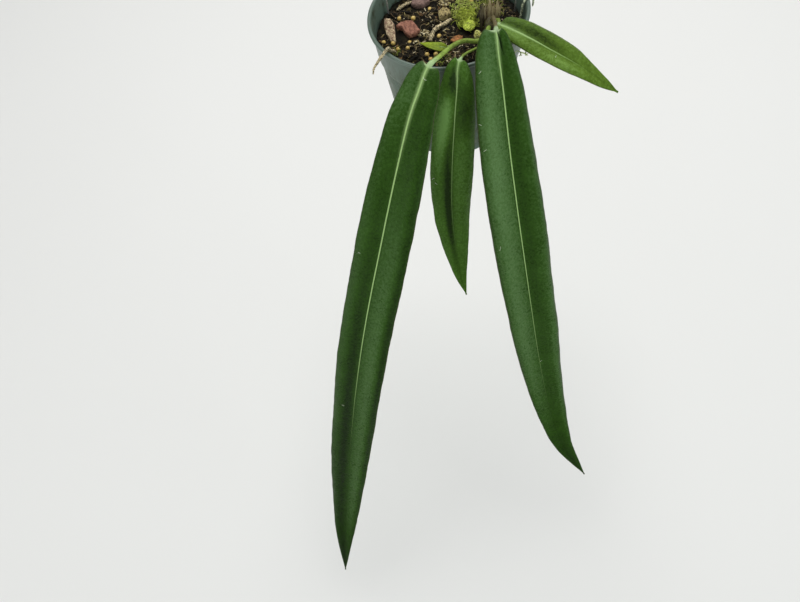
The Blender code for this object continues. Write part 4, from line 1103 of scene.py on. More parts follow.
class Leaf:
    """One leaf: a round petiole, a swollen joint and a long blade, as one mesh."""

    def __init__(self, name, petiole, blade, left, right, facing, petiole_radius, **shape):
        vars(self).update(LEAF_SHAPE, name=name, left=left, right=right, facing=radians(facing),
                          petiole_radius=petiole_radius * MM, **shape)
        self.route = route_through(*petiole, *blade)
        self.blade_start = self.route.knots[len(petiole) - 1]
        self.blade_length = self.route.length - self.blade_start
        self.seed = len(name) * 3.7 + self.blade_length * 40

    def frame(self, distance):
        """Where the section stands, with its across, face and heading directions."""
        heading = self.route.heading(distance)
        sideways = Vector((cos(self.facing), sin(self.facing), 0.0))
        across = (sideways - heading * sideways.dot(heading)).normalized()
        return self.route.place(distance), across, heading.cross(across).normalized(), heading

    def round_section(self, shape, distance, radius, along):
        place, across, face, _ = self.frame(distance)
        ring = []
        for i in range(RING_SIDES):
            turn = pi - 2 * pi * (i + 0.5) / RING_SIDES
            out = across * cos(turn) + face * sin(turn)
            grain = 1.0 + 0.04 * noise.noise((place + out * radius) * 700)
            spot = place + out * radius * grain
            ring.append(shape.point(spot, cos(turn), along, 0.0, 1.0, 0.0, 0.0))
        return ring

    def tone(self, share, v):
        """How much painted sheen (above 0) or painted shade (below 0) the blade has at a place."""
        return sum(amount * bell(((share - place) / long) ** 2 + ((v - across) / wide) ** 2)
                   for place, across, long, wide, amount in self.tones)

    def half_at(self, share, v):
        """Half width at a place, with the edge's wander and nicks, and without them."""
        side = self.right if v > 0 else self.left
        half, full = max(side.reach(share), BLADE_TIP_HALF), side.half_width * MM
        edge = Vector((share * self.blade_length / EDGE_WANDER_LENGTH, 4.0 if v > 0 else 11.0, self.seed))
        wander = noise.noise(edge) + 0.45 * noise.noise(edge * 2.7)
        half += EDGE_WANDER * wander * min(half / full * 2, 1.0)
        for place, edge, depth in self.nicks:
            if (v > 0) == (edge > 0):
                gap = abs(share - place) * self.blade_length / MM
                half -= depth * MM * max(1.0 - gap / (1.1 * depth), 0.0)
        return half, full

    def arch(self, v, half):
        """How high the folded and rolled section stands at a place across it."""
        roll = max(abs(v) - self.roll_start, 0.0)
        return half * (self.fold * abs(v) - self.roll * roll * roll)

    def relief(self, looks, share, v, half):
        """Unevenness of the upper face, and the place's count of side veins from the base."""
        distance = share * self.blade_length
        slow = lump(distance * 38, v * half * 85, self.seed)
        slow += 0.5 * lump(distance * 110, v * half * 150, self.seed + 9)
        fade = smooth_step(1.0 - abs(v), 0.0, 0.25) * smooth_step(share, 0.0, 0.05)
        phase = (distance - abs(v) * half / VEIN_SLANT) / looks.vein_spacing
        vein = smooth_step(abs(phase - floor(phase) - 0.5) * 2, 0.72, 1.0) * fade
        height = looks.ripple * slow * fade - looks.vein_depth * vein
        if self.crease:
            start, end, reach, depth = self.crease
            line = start + (end - start) * share / reach
            height -= depth * MM * smooth_step(1 - abs(v - line) / CREASE_HALF, 0, 1) * smooth_step(
                1 - share / reach, 0, 0.5)
        return height, phase

    def blade_section(self, shape, looks, share):
        place, across, face, heading = self.frame(self.blade_start + share * self.blade_length)
        back = self.lobe * MM * max(1.0 - share / LOBE_SHARE, 0.0) ** 1.5
        middle = (self.left.reach(share) + self.right.reach(share)) / 2
        rib = (1.0 - RIB_FADE * share) * min(middle / RIB_FULL_WIDTH, 1.0) * self.rib
        upper, lower = [], []
        for v in across_shares():
            half, full = self.half_at(share, v)
            phase = 0.6 if v > 0 else 2.3
            wave = self.wave * MM * abs(v) ** 3 * sin(2 * pi * self.waves * share + phase)
            wave *= half / full
            spot = place + across * (v * half) + face * (self.arch(v, half) + wave)
            spot -= heading * back * v * v
            bulge, vein = self.relief(looks, share, v, half)
            spot += face * bulge
            thick = BLADE_THICKNESS + (BLADE_EDGE - BLADE_THICKNESS) * smooth_step(abs(v), 0.8, 1.0)
            near = (v * half / (RIB_HALF * max(rib, 0.25))) ** 2
            off, tone = v * half / MM, self.tone(share, v)
            for side, line, ridge in ((1, upper, RIB_RIDGE * rib * bell(near)),
                                      (-1, lower, RIB_KEEL * rib * bell(near / 1.6))):
                line.append(shape.point(spot + face * (thick / 2 + ridge) * side,
                                        v, share, off, float(side > 0), vein, tone))
        return upper + lower[::-1]

    def shape(self, looks):
        shape = Shape("across", "along", "off", "upper", "vein", "tone")
        rings = []
        count = int(self.blade_start / PETIOLE_STEP)
        for i in range(count):
            mark = self.blade_start * i / count
            share = mark / self.blade_start
            swell = (JOINT_SWELL - 1.0) * smooth_step(mark, self.blade_start - 2 * JOINT_LENGTH,
                                                      self.blade_start - JOINT_LENGTH)
            radius = self.petiole_radius * (1.0 + PETIOLE_FLARE * (1.0 - share) + swell)
            rings.append(self.round_section(shape, mark, radius, share - 1.0))
        steps, dense = int(self.blade_length / BLADE_STEP), BLADE_START_STEPS
        shares = [(i / dense) ** 2 * dense / steps + BLADE_START for i in range(dense)]
        shares += [i / steps for i in range(dense, steps + 1)]
        rings += [self.blade_section(shape, looks, share) for share in shares]
        shape.chain(rings)
        shape.close(rings)
        return shape


# Each leaf's patches paint sheen (above 0) and shade (below 0) on its blade
LEAVES = [
    Leaf("leaf_left",
         [(28, -18, -10.5), (21.5, -27, -10.3), (14.5, -31.3, -9), (6.6, -31, -6.3), (1.8, -35.4, -2),
          (-4.4, -41.9, 3), (-12.3, -50.5, 8), (-22, -59.8, 11.2), (-32, -65, 9)],
         [(-42, -75, 0), (-57.4, -92, -17), (-89.8, -132, -68), (-135.7, -184, -159),
          (-176.8, -237, -260), (-220, -297, -385), (-243, -332, -462)],
         Side(21.1, 0.30, 0.28, 3.4), Side(24.3, 0.30, 0.28, 2.45), -26, 1.55, waves=4.5,
         nicks=((0.56, -1, 0.9), (0.865, -1, 0.7)), rib=1.25,
         tones=((0.03, -0.5, 0.04, 0.5, 0.35), (0.1, 0.45, 0.09, 0.35, -0.35),
                (0.45, 0.42, 0.26, 0.26, 0.32), (0.75, 0.4, 0.12, 0.3, 0.2),
                (0.45, 0.88, 0.4, 0.14, -0.8), (0.5, -0.3, 0.3, 0.24, -0.8),
                (0.8, -0.55, 0.3, 0.5, -0.5), (0.96, 0.2, 0.1, 0.9, -0.7))),
    Leaf("leaf_middle",
         [(29.5, -18.5, -14), (21, -29.5, -13.8), (11.5, -37, -10.5), (3.5, -45.3, -4.5),
          (-2.8, -54, 1.5), (-6.2, -60.5, 5.3), (-9, -64, 6)],
         [(-11, -66, 0), (-13, -71, -10), (-19, -82, -35), (-27, -97, -78),
          (-32, -112, -121), (-32, -129, -177), (-29, -138, -210)],
         Side(17.5, 0.36, 0.36, 1.8), Side(17.6, 0.34, 0.36, 1.9), -8, 0.95,
         waves=3.0, lobe=2.5, rib=0.75, fold=0.3, roll_start=0.3, roll=0.75,
         tones=((0.06, -0.3, 0.045, 0.35, -1.2), (0.15, 0.45, 0.08, 0.45, -0.8),
                (0.05, 0.6, 0.035, 0.3, 0.25), (0.18, -0.5, 0.08, 0.34, 1.25),
                (0.27, -0.65, 0.09, 0.22, 0.5), (0.5, -0.2, 0.24, 0.19, -1.4),
                (0.35, 0.4, 0.18, 0.4, 0.2))),
    Leaf("leaf_front",
         [(30.5, -15, -8), (30.3, -19, -2.5), (28.5, -27, 4.5), (25.5, -38, 10.3), (22.7, -49, 15.4),
          (20, -59, 18)],
         [(19, -68, 7), (18, -84, -12), (16, -118, -59), (17, -169, -144), (20, -217, -231),
          (25.5, -250, -291), (35, -278, -340), (58.5, -305, -399)],
         Side(24.1, 0.28, 0.24, 1.95), Side(22.4, 0.42, 0.36, 2.2), 0, 1.3,
         roll_start=0.72, roll=2.55, crease=(0.2, 0.42, 0.05, 1.2),
         tones=((0.15, -0.55, 0.2, 0.4, 0.65), (0.5, -0.55, 0.24, 0.4, 0.5),
                (0.3, 0.25, 0.35, 0.2, -0.35), (0.6, 0.75, 0.25, 0.12, 0.35),
                (0.92, -0.2, 0.14, 0.9, -0.6),
                (0.014, 0.27, 0.014, 0.08, -0.95), (0.35, -0.97, 0.4, 0.04, -0.4))),
    Leaf("leaf_right",
         [(33, -13, -9), (35, -18, -6), (33, -26, 0), (30, -35, 5.5), (28, -42, 9)],
         [(33, -47, 8.5), (43, -56, 5.5), (58, -69, -1), (73, -79, -9), (92, -92, -22),
          (104, -96, -32)],
         Side(11.0, 0.34, 0.30, 1.7), Side(13.0, 0.34, 0.26, 1.45), 20, 1.05,
         waves=2.0, lobe=2.0, wave=0.5, rib=0.85, fold=0.4, roll_start=0.45, roll=1.2,
         tones=((0.1, 0.4, 0.1, 0.3, -0.5), (0.27, 0.32, 0.12, 0.26, -0.85),
                (0.42, 0.22, 0.08, 0.18, -0.5), (0.12, -0.35, 0.12, 0.4, 0.4),
                (0.5, -0.6, 0.14, 0.35, 0.4))),
]

YOUNG_SHOOT = Leaf("young_shoot",
                   [(-4.5, -24.5, -20.5), (-4.8, -24.7, -15.2), (-6.5, -25.7, -12),
                    (-8.5, -26.3, -11.2)],
                   [(-10.5, -26.2, -10.8), (-17, -22.8, -10), (-26.5, -14.5, -11.3)],
                   Side(4.0, 0.40, 0.45, 1.8), Side(4.6, 0.36, 0.45, 1.8), 180, 0.8,
                   waves=1.0, lobe=0.8, wave=0.2, rib=0.3,
                   tones=((0.25, 0.0, 0.25, 1.2, -0.4), (0.6, 0.6, 0.3, 0.4, -0.4)))

# How far each midrib's pale colour runs, and how wide it is at the base in millimetres
LeafTint = namedtuple("LeafTint", "colour rib_start rib_end rib_width glow_end stalk slot")
LEAF_TINTS = {
    "leaf_left": LeafTint("deep", 0.3, 0.64, 0.62, 0.16, "petiole", "leaf_deep"),
    "leaf_middle": LeafTint("olive", 0.1, 0.85, 0.45, 0.1, "petiole", "leaf_deep"),
    "leaf_front": LeafTint("deep", 0.25, 0.78, 0.52, 0.08, "dry", "leaf_deep"),
    "leaf_right": LeafTint("light", 0.15, 0.75, 0.6, 0.4, "petiole", "leaf_light"),
}
SHOOT_TINT = LeafTint("shoot", 0.1, 0.4, 0.3, 0.1, "petiole", "shoot_lime")


def leaf_finish(name, looks, tint):
    finish = Finish(name, looks.roughness, Specular_Tint=looks.sheen)
    band, times, plus = finish.band, finish.times, finish.plus
    colour, petiole = getattr(looks, tint.colour), getattr(looks, tint.stalk)
    blotch, grain, fleck = (16, 3, 0.55), (1.9, 4, 0.7), 0.9
    across, off = finish.size(finish.pattern("across")), finish.size(finish.pattern("off"))
    lines = finish.math("SUBTRACT", finish.math("FRACT", finish.pattern("vein")), 0.5)
    lines = times(band(finish.size(lines), 0.38, 0.5), band(across, 0.98, 0.7))
    light = shaded(colour, 1.6, 0.003)
    # satin is a painted sheen: a paler green laid where the patches are above 0
    satin = tuple(c * 2.1 + more for c, more in zip(colour, looks.satin))
    # The patches' painted sheen and shade, with the grain's random mottling added
    tone = plus(finish.pattern("tone"), band(grain, 0.32, 0.68, -0.25, 0.22))
    width = times(band("along", 0.0, 1.0, 1.0, 0.3), tint.rib_width)
    from_rib = finish.math("DIVIDE", off, width)
    rib = times(band(from_rib, 1.25, 0.55), band("along", tint.rib_start, tint.rib_end, 1.0, 0.0))
    glow = times(band(from_rib, 4.6, 0.8), band("along", 0.0, tint.glow_end, 0.5, 0.0))
    # Painted shade: dark lines along both sides of the midrib
    painted_groove_shade = times(band(from_rib, 1.1, 1.6), band(from_rib, 3.2, 1.8),
                   band("along", 0.05, 0.3, 0.0, 0.45))
    green = finish.coats(colour,
                         (band(blotch, 0.35, 0.75, 0.0, 0.45), light),
                         (times(lines, 0.22), light),
                         # Painted sheen where the sum is above 0, painted shade where it is below 0
                         (finish.math("MULTIPLY", tone, 1.0, clamp=True), satin),
                         (finish.math("MULTIPLY", tone, -1.0, clamp=True), shaded(colour, 0.22)),
                         (glow, looks.midrib),
                         (painted_groove_shade, shaded(colour, 0.4)),
                         (times(rib, 0.95), looks.midrib),
                         (times(band(across, 0.97, 0.992), 0.7), (0.045, 0.035, 0.018)))
    below = finish.coats(looks.under, (band(off, 2.2, 0.8, 0.0, 0.8), looks.midrib),
                         (times(lines, 0.5), (0.05, 0.1, 0.022)))
    stalk = finish.layers(petiole, ((3, 3), (0.35, 0.75), shaded(petiole, 0.6)),
                          ("along", (-0.14, -0.04, 0.0, 0.75), looks.joint))
    blade = finish.mix(finish.pattern("upper"), below, green)
    rough = plus(band(blotch, 0.3, 0.7, -0.05, 0.05), band(grain, 0.3, 0.7, -0.08, 0.09))
    finish.give(Base_Color=finish.mix(band("along", -0.01, 0.004), stalk, blade),
                Specular_IOR_Level=band("along", 0.4, 0.9, 0.17, 0.015),
                Roughness=plus(rough, looks.roughness))
    finish.bump(plus(times(finish.pattern(grain), 0.8), times(finish.pattern(fleck), 0.3)), 0.6, 0.9)
    return finish.material


# Pale hairs caught on the blades: which leaf, share along it, share across it, length in millimetres
LINT = (
    (0, 0.015, 0.25, 3.5), (0, 0.25, -0.8, 2.5), (0, 0.52, -0.55, 2.5),
    (1, 0.4, -0.93, 5.0), (1, 0.41, -0.8, 3.0), (2, 0.12, -0.97, 4.0), (2, 0.16, -0.9, 3.0),
    (2, 0.33, -0.85, 3.5), (2, 0.05, -0.9, 3.0), (2, 0.6, 0.1, 2.5), (3, 0.45, -0.5, 2.0),
)


def build_lint():
    rng = random.Random(3)
    shape = Shape()
    for index, share, v, length in LINT:
        leaf = LEAVES[index]
        place, across, face, heading = leaf.frame(leaf.blade_start + share * leaf.blade_length)
        half, _ = leaf.half_at(share, v)
        spot = place + across * v * half + face * (leaf.arch(v, half) + LINT_LIFT)
        aim = (across * rng.uniform(-1, 1) + heading * rng.uniform(-1, 1)).normalized()
        places = []
        for i in range(FIBRE_STEPS + 1):
            places.append(spot + face * LINT_ARCH * sin(pi * i / FIBRE_STEPS))
            aim = (aim + across * rng.uniform(-0.6, 0.6) + heading * rng.uniform(-0.6, 0.6)).normalized()
            spot = spot + aim * length / FIBRE_STEPS * MM
        shape.tube(places, LINT_HALF, 5)
    shape.show("blade_lint", layered("pale_lint", 0.7, (0.5, 0.55, 0.42)), "leaf_light")


class ANTHURIUM_OT_add_leaves(bpy.types.Operator):
    """Add the four grown leaves and the young shoot"""
    bl_idname = "anthurium.add_leaves"
    bl_label = "Leaves"

    def execute(self, context):
        looks = context.scene.anthurium_leaf
        for leaf in LEAVES:
            tint = LEAF_TINTS[leaf.name]
            leaf.shape(looks).show(leaf.name.replace("leaf", "blade"),
                                   leaf_finish("blade_" + leaf.name, looks, tint), tint.slot, leaf.name)
        finish = leaf_finish("shoot_green", looks, SHOOT_TINT)
        YOUNG_SHOOT.shape(looks).show("shoot_tip", finish, SHOOT_TINT.slot, YOUNG_SHOOT.name)
        build_lint()
        return {"FINISHED"}


# Stem, sheath and moss

STEM_PLACE = (30.5, -14.5)
STEM_RADIUS = 5.4 * MM
STEM_TOP = -6.0
STEM_FOOT = -32.0
STEM_SHOULDER = 0.62
STEM_RIPPLE = 11
STEM_ROUGH = 0.25 * MM
STEM_STEPS = 60
STEM_SIDES = 48
SHEATH_FOOT = -15.2
SHEATH_START = 15
SHEATH_SWEEP = 165
SHEATH_OFFSET = 0.9 * MM
SHEATH_SPREAD = 1.9 * MM
SHEATH_FOLDS = 21
SHEATH_COLUMNS = 132
SHEATH_ROWS = 22
SHEATH_THICKNESS = 0.3 * MM
SHEATH_FIBRES = 90


def build_stem():
    """Short stem with leaf rings."""
    shape = Shape()
    rings = []
    for i in range(STEM_STEPS):
        share = i / (STEM_STEPS - 1)
        height = STEM_FOOT + (STEM_TOP - STEM_FOOT) * share
        fall = max(share - STEM_SHOULDER, 0.0) / (1.0 - STEM_SHOULDER)
        radius = STEM_RADIUS * (1.0 - 0.5 * fall ** 2) + STEM_ROUGH * sin(STEM_RIPPLE * fall)
        ring = []
        for j in range(STEM_SIDES):
            out = polar(1.0, 2 * pi * j / STEM_SIDES)
            rough = STEM_ROUGH * lump(out.x * 3, out.y * 3, height * 1.2)
            ring.append(shape.point(at(*STEM_PLACE, height) + out * (radius + rough)))
        rings.append(ring)
    shape.chain(rings)
    shape.cap(rings[0][::-1], at(*STEM_PLACE, STEM_FOOT))
    shape.cap(rings[-1], at(*STEM_PLACE, STEM_TOP + 0.4))
    leaf_rings = (2.2, 4, 0.7, (1.0, 1.0, 3.0))
    finish = layered("stem_bark", 0.75, (0.035, 0.028, 0.012),
                     (leaf_rings, (0.3, 0.7), (0.13, 0.12, 0.045)),
                     ((1.0, 3), (0.5, 0.75), (0.05, 0.035, 0.015)),
                     bump=(leaf_rings, 0.5, 0.9))
    shape.show("stem_wood", finish, "stem_bark", "stem")


def sheath_top(column):
    tear = 0.5 + 0.5 * lump(column * 0.55, 2.0, 0.0)
    return -6 + 17 * tear - 3.5 * abs(column % 6 - 3) / 3


def sheath_face(shape, outward):
    """The columns of points of the sheath's inner or outer face."""
    grid = []
    for i in range(SHEATH_COLUMNS):
        across = i / (SHEATH_COLUMNS - 1)
        column = SHEATH_FOLDS * i / (SHEATH_COLUMNS - 1)
        turn = radians(SHEATH_START + SHEATH_SWEEP * i / (SHEATH_COLUMNS - 1))
        top = sheath_top(column) - 2.2 * abs(lump(i * 0.9, 7.0, 0.0))
        line = []
        for j in range(SHEATH_ROWS):
            share = j / (SHEATH_ROWS - 1)
            height = SHEATH_FOOT + (top - SHEATH_FOOT) * share
            radius = STEM_RADIUS + SHEATH_OFFSET + SHEATH_SPREAD * share
            radius += 0.35 * MM * sin(column * 1.9) + outward * SHEATH_THICKNESS
            radius += 0.3 * MM * lump(i * 0.35, j * 0.5, 3.0)
            line.append(shape.point(at(*STEM_PLACE, height) + polar(radius, turn), across))
        grid.append(line)
    return grid


def sheath_rim(grid):
    """The points round the four edges of a face."""
    return ([line[0] for line in grid] + grid[-1][1:] + [line[-1] for line in grid[-2::-1]]
            + grid[0][-2:0:-1])


def build_sheath(looks):
    """Torn papery sheath behind the stem."""
    shape = Shape("across")
    inner, outer = sheath_face(shape, 0), sheath_face(shape, 1)
    for left, right in zip(inner, inner[1:]):
        shape.join(left, right, closed=False)
    for left, right in zip(outer, outer[1:]):
        shape.join(right, left, closed=False)
    shape.join(sheath_rim(outer), sheath_rim(inner))
    grain = (0.9, 4, 0.7, (1.0, 1.0, 0.16))
    finish = layered("dry_sheath", 0.85, (0.03, 0.02, 0.01),
                     (grain, (0.3, 0.45), looks.sheath),
                     (grain, (0.5, 0.66), (0.66, 0.56, 0.36)),
                     # Darker towards the sheath's left end: painted shade
                     ("across", (0.4, 0.75, 0.0, 0.85), (0.025, 0.018, 0.008)),
                     ((6, 2), (0.5, 0.7, 0.0, 0.4), (0.1, 0.08, 0.03)),
                     bump=(grain, 0.4, 0.9))
    shape.show("sheath_paper", finish, "dry_sheath", "cataphylls")


def build_sheath_fibres():
    """Loose fibres along the sheath."""
    rng = random.Random(14)
    shape = Shape("tint")
    for _ in range(SHEATH_FIBRES):
        share = rng.random()
        turn = radians(SHEATH_START + SHEATH_SWEEP * share)
        radius = STEM_RADIUS + SHEATH_OFFSET + rng.uniform(0.3, 1.6) * MM
        top = min(sheath_top(SHEATH_FOLDS * share) + rng.uniform(-2, 2), 3.0)
        foot = SHEATH_FOOT + rng.uniform(0, 6)
        places = []
        for i in range(FIBRE_STEPS + 1):
            height = foot + (top - foot) * i / FIBRE_STEPS
            swing = turn + 0.05 * sin(i * 0.9 + share * 30)
            spread = radius + SHEATH_SPREAD * i / FIBRE_STEPS
            places.append(at(*STEM_PLACE, height) + polar(1.0, swing) * spread)
        # Fibres towards the sheath's left end are darker: painted shade, as on the sheath
        tint = rng.uniform(0.35, 1.0) * smooth_step(share, 0.9, 0.4)
        shape.tube(places, rng.uniform(0.12, 0.26) * MM, 5, tint)
    shape.show("sheath_fibres", fibre_finish(), "dry_sheath")


MOSS_HEART = (15.0, 0.5, -13.6)
MOSS_CORE = (7.2, 8.0, 4.4)
MOSS_SIZE = (8.2, 9.0, 4.6)
LOBE_PLACE = (14.5, -9.4, -11.0)
LOBE_SIZE = (4.9, 5.2, 2.9)
LOBE_TURN = -18
LOBE_PEBBLES = 260
MOSS_TIP_PLACE = (17.6, -22.2, -11.2)
MOSS_TIP_SIZE = (2.5, 2.5, 3.7)
MOSS_TIP_CORE = (2.3, 2.3, 3.5)
MOSS_TIP_LEAN = -12
MOSS_TIP_SCALES = 230

# Low moss that creeps over the mix: middle, reach, number of strands, tint
CREEPS = (
    ((17.0, 15.0), 11.0, 420, 0.75),
    ((36.0, 8.0), 12.0, 320, 0.3),
    ((-14.0, -35.0), 7.0, 90, 0.15),
    ((-44.0, -10.0), 4.0, 40, 0.3),
    ((24.0, -6.0), 4.5, 90, 0.5),
)


def moss_finish(name, colour):
    dark = shaded(colour, 0.16)
    return layered(name, 0.75, dark,
                   ("tint", (0.0, 0.4), colour),
                   ("tint", (0.6, 1.0), shaded(colour, 1.5, 0.06)),
                   ((0.8, 3), (0.45, 0.75, 0.0, 0.5), dark),
                   bump=((0.45, 3), 0.2, 0.8))


def moss_curl(shape, rng, root, out, length, thick, *tint):
    """One strand that curls as it goes."""
    side = out.cross(stray(rng, (-1, 1), (-1, 1), (-1, 1))).normalized()
    places, spot, heading = [], root, out
    turn = Matrix.Rotation(rng.uniform(0.15, 0.65), 3, side)
    for _ in range(FIBRE_STEPS + 1):
        places.append(spot)
        spot = spot + heading * length / FIBRE_STEPS * MM
        heading = turn @ heading
    shape.tube(places, tapered(thick, FIBRE_STEPS + 1, FIBRE_STEPS), 5, *tint)


def spiral(count, depth, size, narrowing=0.0):
    """Even spots over a ball from its top down, in millimetres from its middle."""
    for i in range(count):
        height = 1 - depth * (i + 0.5) / count
        turn = i * pi * (3 - sqrt(5))
        flat = sqrt(max(1 - height * height, 0.0)) * (1.0 - narrowing * max(height, 0.0))
        yield Vector((flat * cos(turn) * size[0], flat * sin(turn) * size[1], height * size[2]))


def build_moss(looks):
    """Moss tuft of many curling strands, with one bright pebbled lobe in front."""
    rng = random.Random(5)
    shape = Shape("tint")
    heart = at(*MOSS_HEART)
    # The core ball takes the darkest moss colour, a painted shade for the gaps between the strands
    shape.ball(heart + UP * 0.4 * MM, Vector(MOSS_CORE) * MM, UNTURNED, 48, 30, 0.0, rough=0.35, fine=3.4)
    for _ in range(looks.strands):
        turn, lean = rng.uniform(0, 2 * pi), rng.uniform(0.0, 1.45)
        out = Vector((cos(turn) * sin(lean), sin(turn) * sin(lean), cos(lean)))
        root = heart + Vector([a * b for a, b in zip(out, MOSS_SIZE)]) * 0.86 * MM
        along = (out + stray(rng, (-1, 1), (-1, 1), (-0.5, 0.5)) * 0.9).normalized()
        clump = smooth_step(noise.noise(root / MM * 0.28), -0.3, 0.35)
        # Strands on the top of the tuft are paler, a painted top light; clumps vary at random
        tint = 0.55 * rng.random() * clump + 0.25 * smooth_step(out.z, 0.2, 1.0) + 0.3 * clump
        moss_curl(shape, rng, root, along, rng.uniform(3.0, 9.0), rng.uniform(0.22, 0.52) * MM, tint)
    shape.show("moss_strands", moss_finish("moss_green", looks.moss), "moss", "moss_tuft")
    lobe = Shape("tint")
    centre, spin = at(*LOBE_PLACE), spun(radians(LOBE_TURN))
    lobe.ball(centre, Vector(LOBE_SIZE) * 0.94 * MM, spin, 72, 44, 0.05, rough=0.16, fine=2.2)
    for spot in spiral(LOBE_PEBBLES, 1.5, LOBE_SIZE):
        size = Vector((1, 1, 1)) * rng.uniform(0.3, 0.55) * MM
        lobe.ball(centre + spin @ (spot * MM * 0.95), size, UNTURNED, 8, 6,
                  rng.uniform(0.3, 1.0), rough=0.2)
    lobe.show("moss_lobe", moss_finish("moss_bright", looks.lobe), "moss")


def build_creeping_moss(looks):
    """Thin moss that spreads from the tuft and along the rim."""
    rng = random.Random(27)
    shape = Shape("tint")
    for middle, reach, count, tint in CREEPS:
        for _ in range(count):
            x, y = beside(rng, middle, reach)
            if sqrt(x * x + y * y) > CHIP_REACH:
                continue
            out = stray(rng, (-1, 1), (-1, 1), (0.2, 1.0)).normalized()
            moss_curl(shape, rng, on_mix(x, y, 0.3), out, rng.uniform(2.0, 6.5),
                      rng.uniform(0.14, 0.3) * MM, min(max(tint + rng.uniform(-0.2, 0.35), 0.0), 1.0))
    shape.show("moss_creep", moss_finish("moss_olive", looks.creep), "moss")


def build_moss_tip(looks):
    """Small pointed tuft of yellow moss beside the petioles."""
    rng = random.Random(9)
    shape = Shape("tint")
    centre, lean = at(*MOSS_TIP_PLACE), spun(0.0, 0.0, radians(MOSS_TIP_LEAN))
    for spot in spiral(MOSS_TIP_SCALES, 1.9, MOSS_TIP_SIZE, 0.35):
        place = lean @ (spot * MM)
        shape.ball(centre + place, Vector((0.34, 0.34, 0.75)) * MM, turned_to(place.normalized()), 6, 5,
                   rng.random(), rough=0.2)
    shape.ball(centre, Vector(MOSS_TIP_CORE) * MM, lean, 24, 16, 0.2, rough=0.1)
    shape.show("moss_point", moss_finish("moss_yellow", looks.tip), "moss_yellow", "moss_tip")


class ANTHURIUM_OT_add_crown(bpy.types.Operator):
    """Add the stem, its dry sheath and the moss round it"""
    bl_idname = "anthurium.add_crown"
    bl_label = "Stem and moss"

    def execute(self, context):
        looks = context.scene.anthurium_growth
        build_stem()
        build_sheath(looks)
        build_sheath_fibres()
        build_moss(looks)
        build_creeping_moss(looks)
        build_moss_tip(looks)
        return {"FINISHED"}


# Roots and bark

ROOT_STEP = 0.5 * MM
ROOT_SIDES = 18
FEATHER_STEPS = 30
FEATHER_CURLS = 4
FEATHER_RADIUS = 0.62
FEATHER_THINNING = 0.36

Root = namedtuple("Root", "route radius colour slot taper")

ROOTS = {
    "aerial_root_left": Root(
        route_through((-46.8, -11, -21.5), (-47.0, -11.5, -15.5), (-49.5, -17, -9.5),
               (-52, -23.5, -3.2), (-52.9, -25, 0.3), (-55.2, -28.3, 2.2),
               (-58.4, -30.9, 1.4), (-61.9, -31.6, -1.8), (-65.2, -29.8, -7.3),
               (-67.4, -27.2, -13), (-68.2, -25, -19)),
        1.15 * MM, "root", "root_tan", lambda share: 1.0 - 1.4 * max(share - 0.62, 0.0)),
    "aerial_root_right": Root(
        route_through((55, -13, -21), (55.2, -12.9, -14), (56.3, -12.4, -7), (57.4, -12, -1.6),
               (60.8, -11, 1.6), (64.8, -9.6, 0.2), (66.6, -8.2, -5), (67.2, -6.6, -11)),
        1.0 * MM, "root_pale", "root_pale", lambda share: 1.0 - 0.35 * share),
    "aerial_root_front": Root(
        route_through((34.8, -41.5, -21), (35.2, -42, -14), (36.8, -44, -4), (39.6, -47.2, 1.7),
               (42.6, -50.3, 0.2), (44.6, -51.4, -5), (45.4, -51.0, -10)),
        1.0 * MM, "root_pale", "root_pale", lambda share: 1.0 - 0.3 * share),
    "surface_root_long": Root(
        route_through((3.8, 5.6, -13.6), (-0.5, 3.2, -13.5), (-7.4, 0.8, -13.5),
               (-12.7, -2.4, -13.5), (-17.5, -11.5, -13.7)),
        1.6 * MM, "root", "root_tan", lambda share: 1.0 - 0.12 * cos(share * 19)),
    "surface_root_short": Root(
        route_through((-34, 38, -16.9), (-27, 41, -16.5), (-19, 43, -16.8)),
        1.15 * MM, "root", "root_tan", lambda share: 0.8 + 0.3 * sin(pi * share)),
}

# Thin pale branches at the end of the front root
FEATHERS = (
    ((45.2, -51.6, -9.4), (44.4, -56.4, -7.6), (42.0, -61.0, -5.2), (40.4, -59.8, -5.0),
     (38.9, -58.5, -5.0), (37.5, -56.4, -5.0), (35.4, -57.8, -5.0), (34.2, -57.0, -5.2)),
    ((42.6, -60.0, -5.8), (42.0, -63.0, -5.0), (43.4, -62.6, -4.6)),
    ((39.2, -58.8, -5.0), (38.6, -61.4, -5.0), (36.9, -62.0, -5.2)),
)


def build_roots(looks):
    for name, root in ROOTS.items():
        count = int(root.route.length / ROOT_STEP)
        radii = [root.radius * root.taper(i / (count - 1)) for i in range(count)]
        shape = Shape()
        shape.tube(root.route.even(count), radii, ROOT_SIDES, rough=0.5, grain=1.3)
        colour, grain = getattr(looks, root.colour), (1.1, 4, 0.7)
        dark = shaded(colour, 0.15)
        finish = layered(name, 0.85, dark,
                         ((1.9, 3, 0.7), (0.36, 0.52), colour),
                         (1.5, (0.42, 0.66, 0.0, 0.8), dark),
                         (grain, (0.54, 0.66), shaded(colour, 1.6, 0.05)),
                         bump=(grain, 0.35, 0.9))
        shape.show(name.replace("root", "rootlet"), finish, root.slot, name)


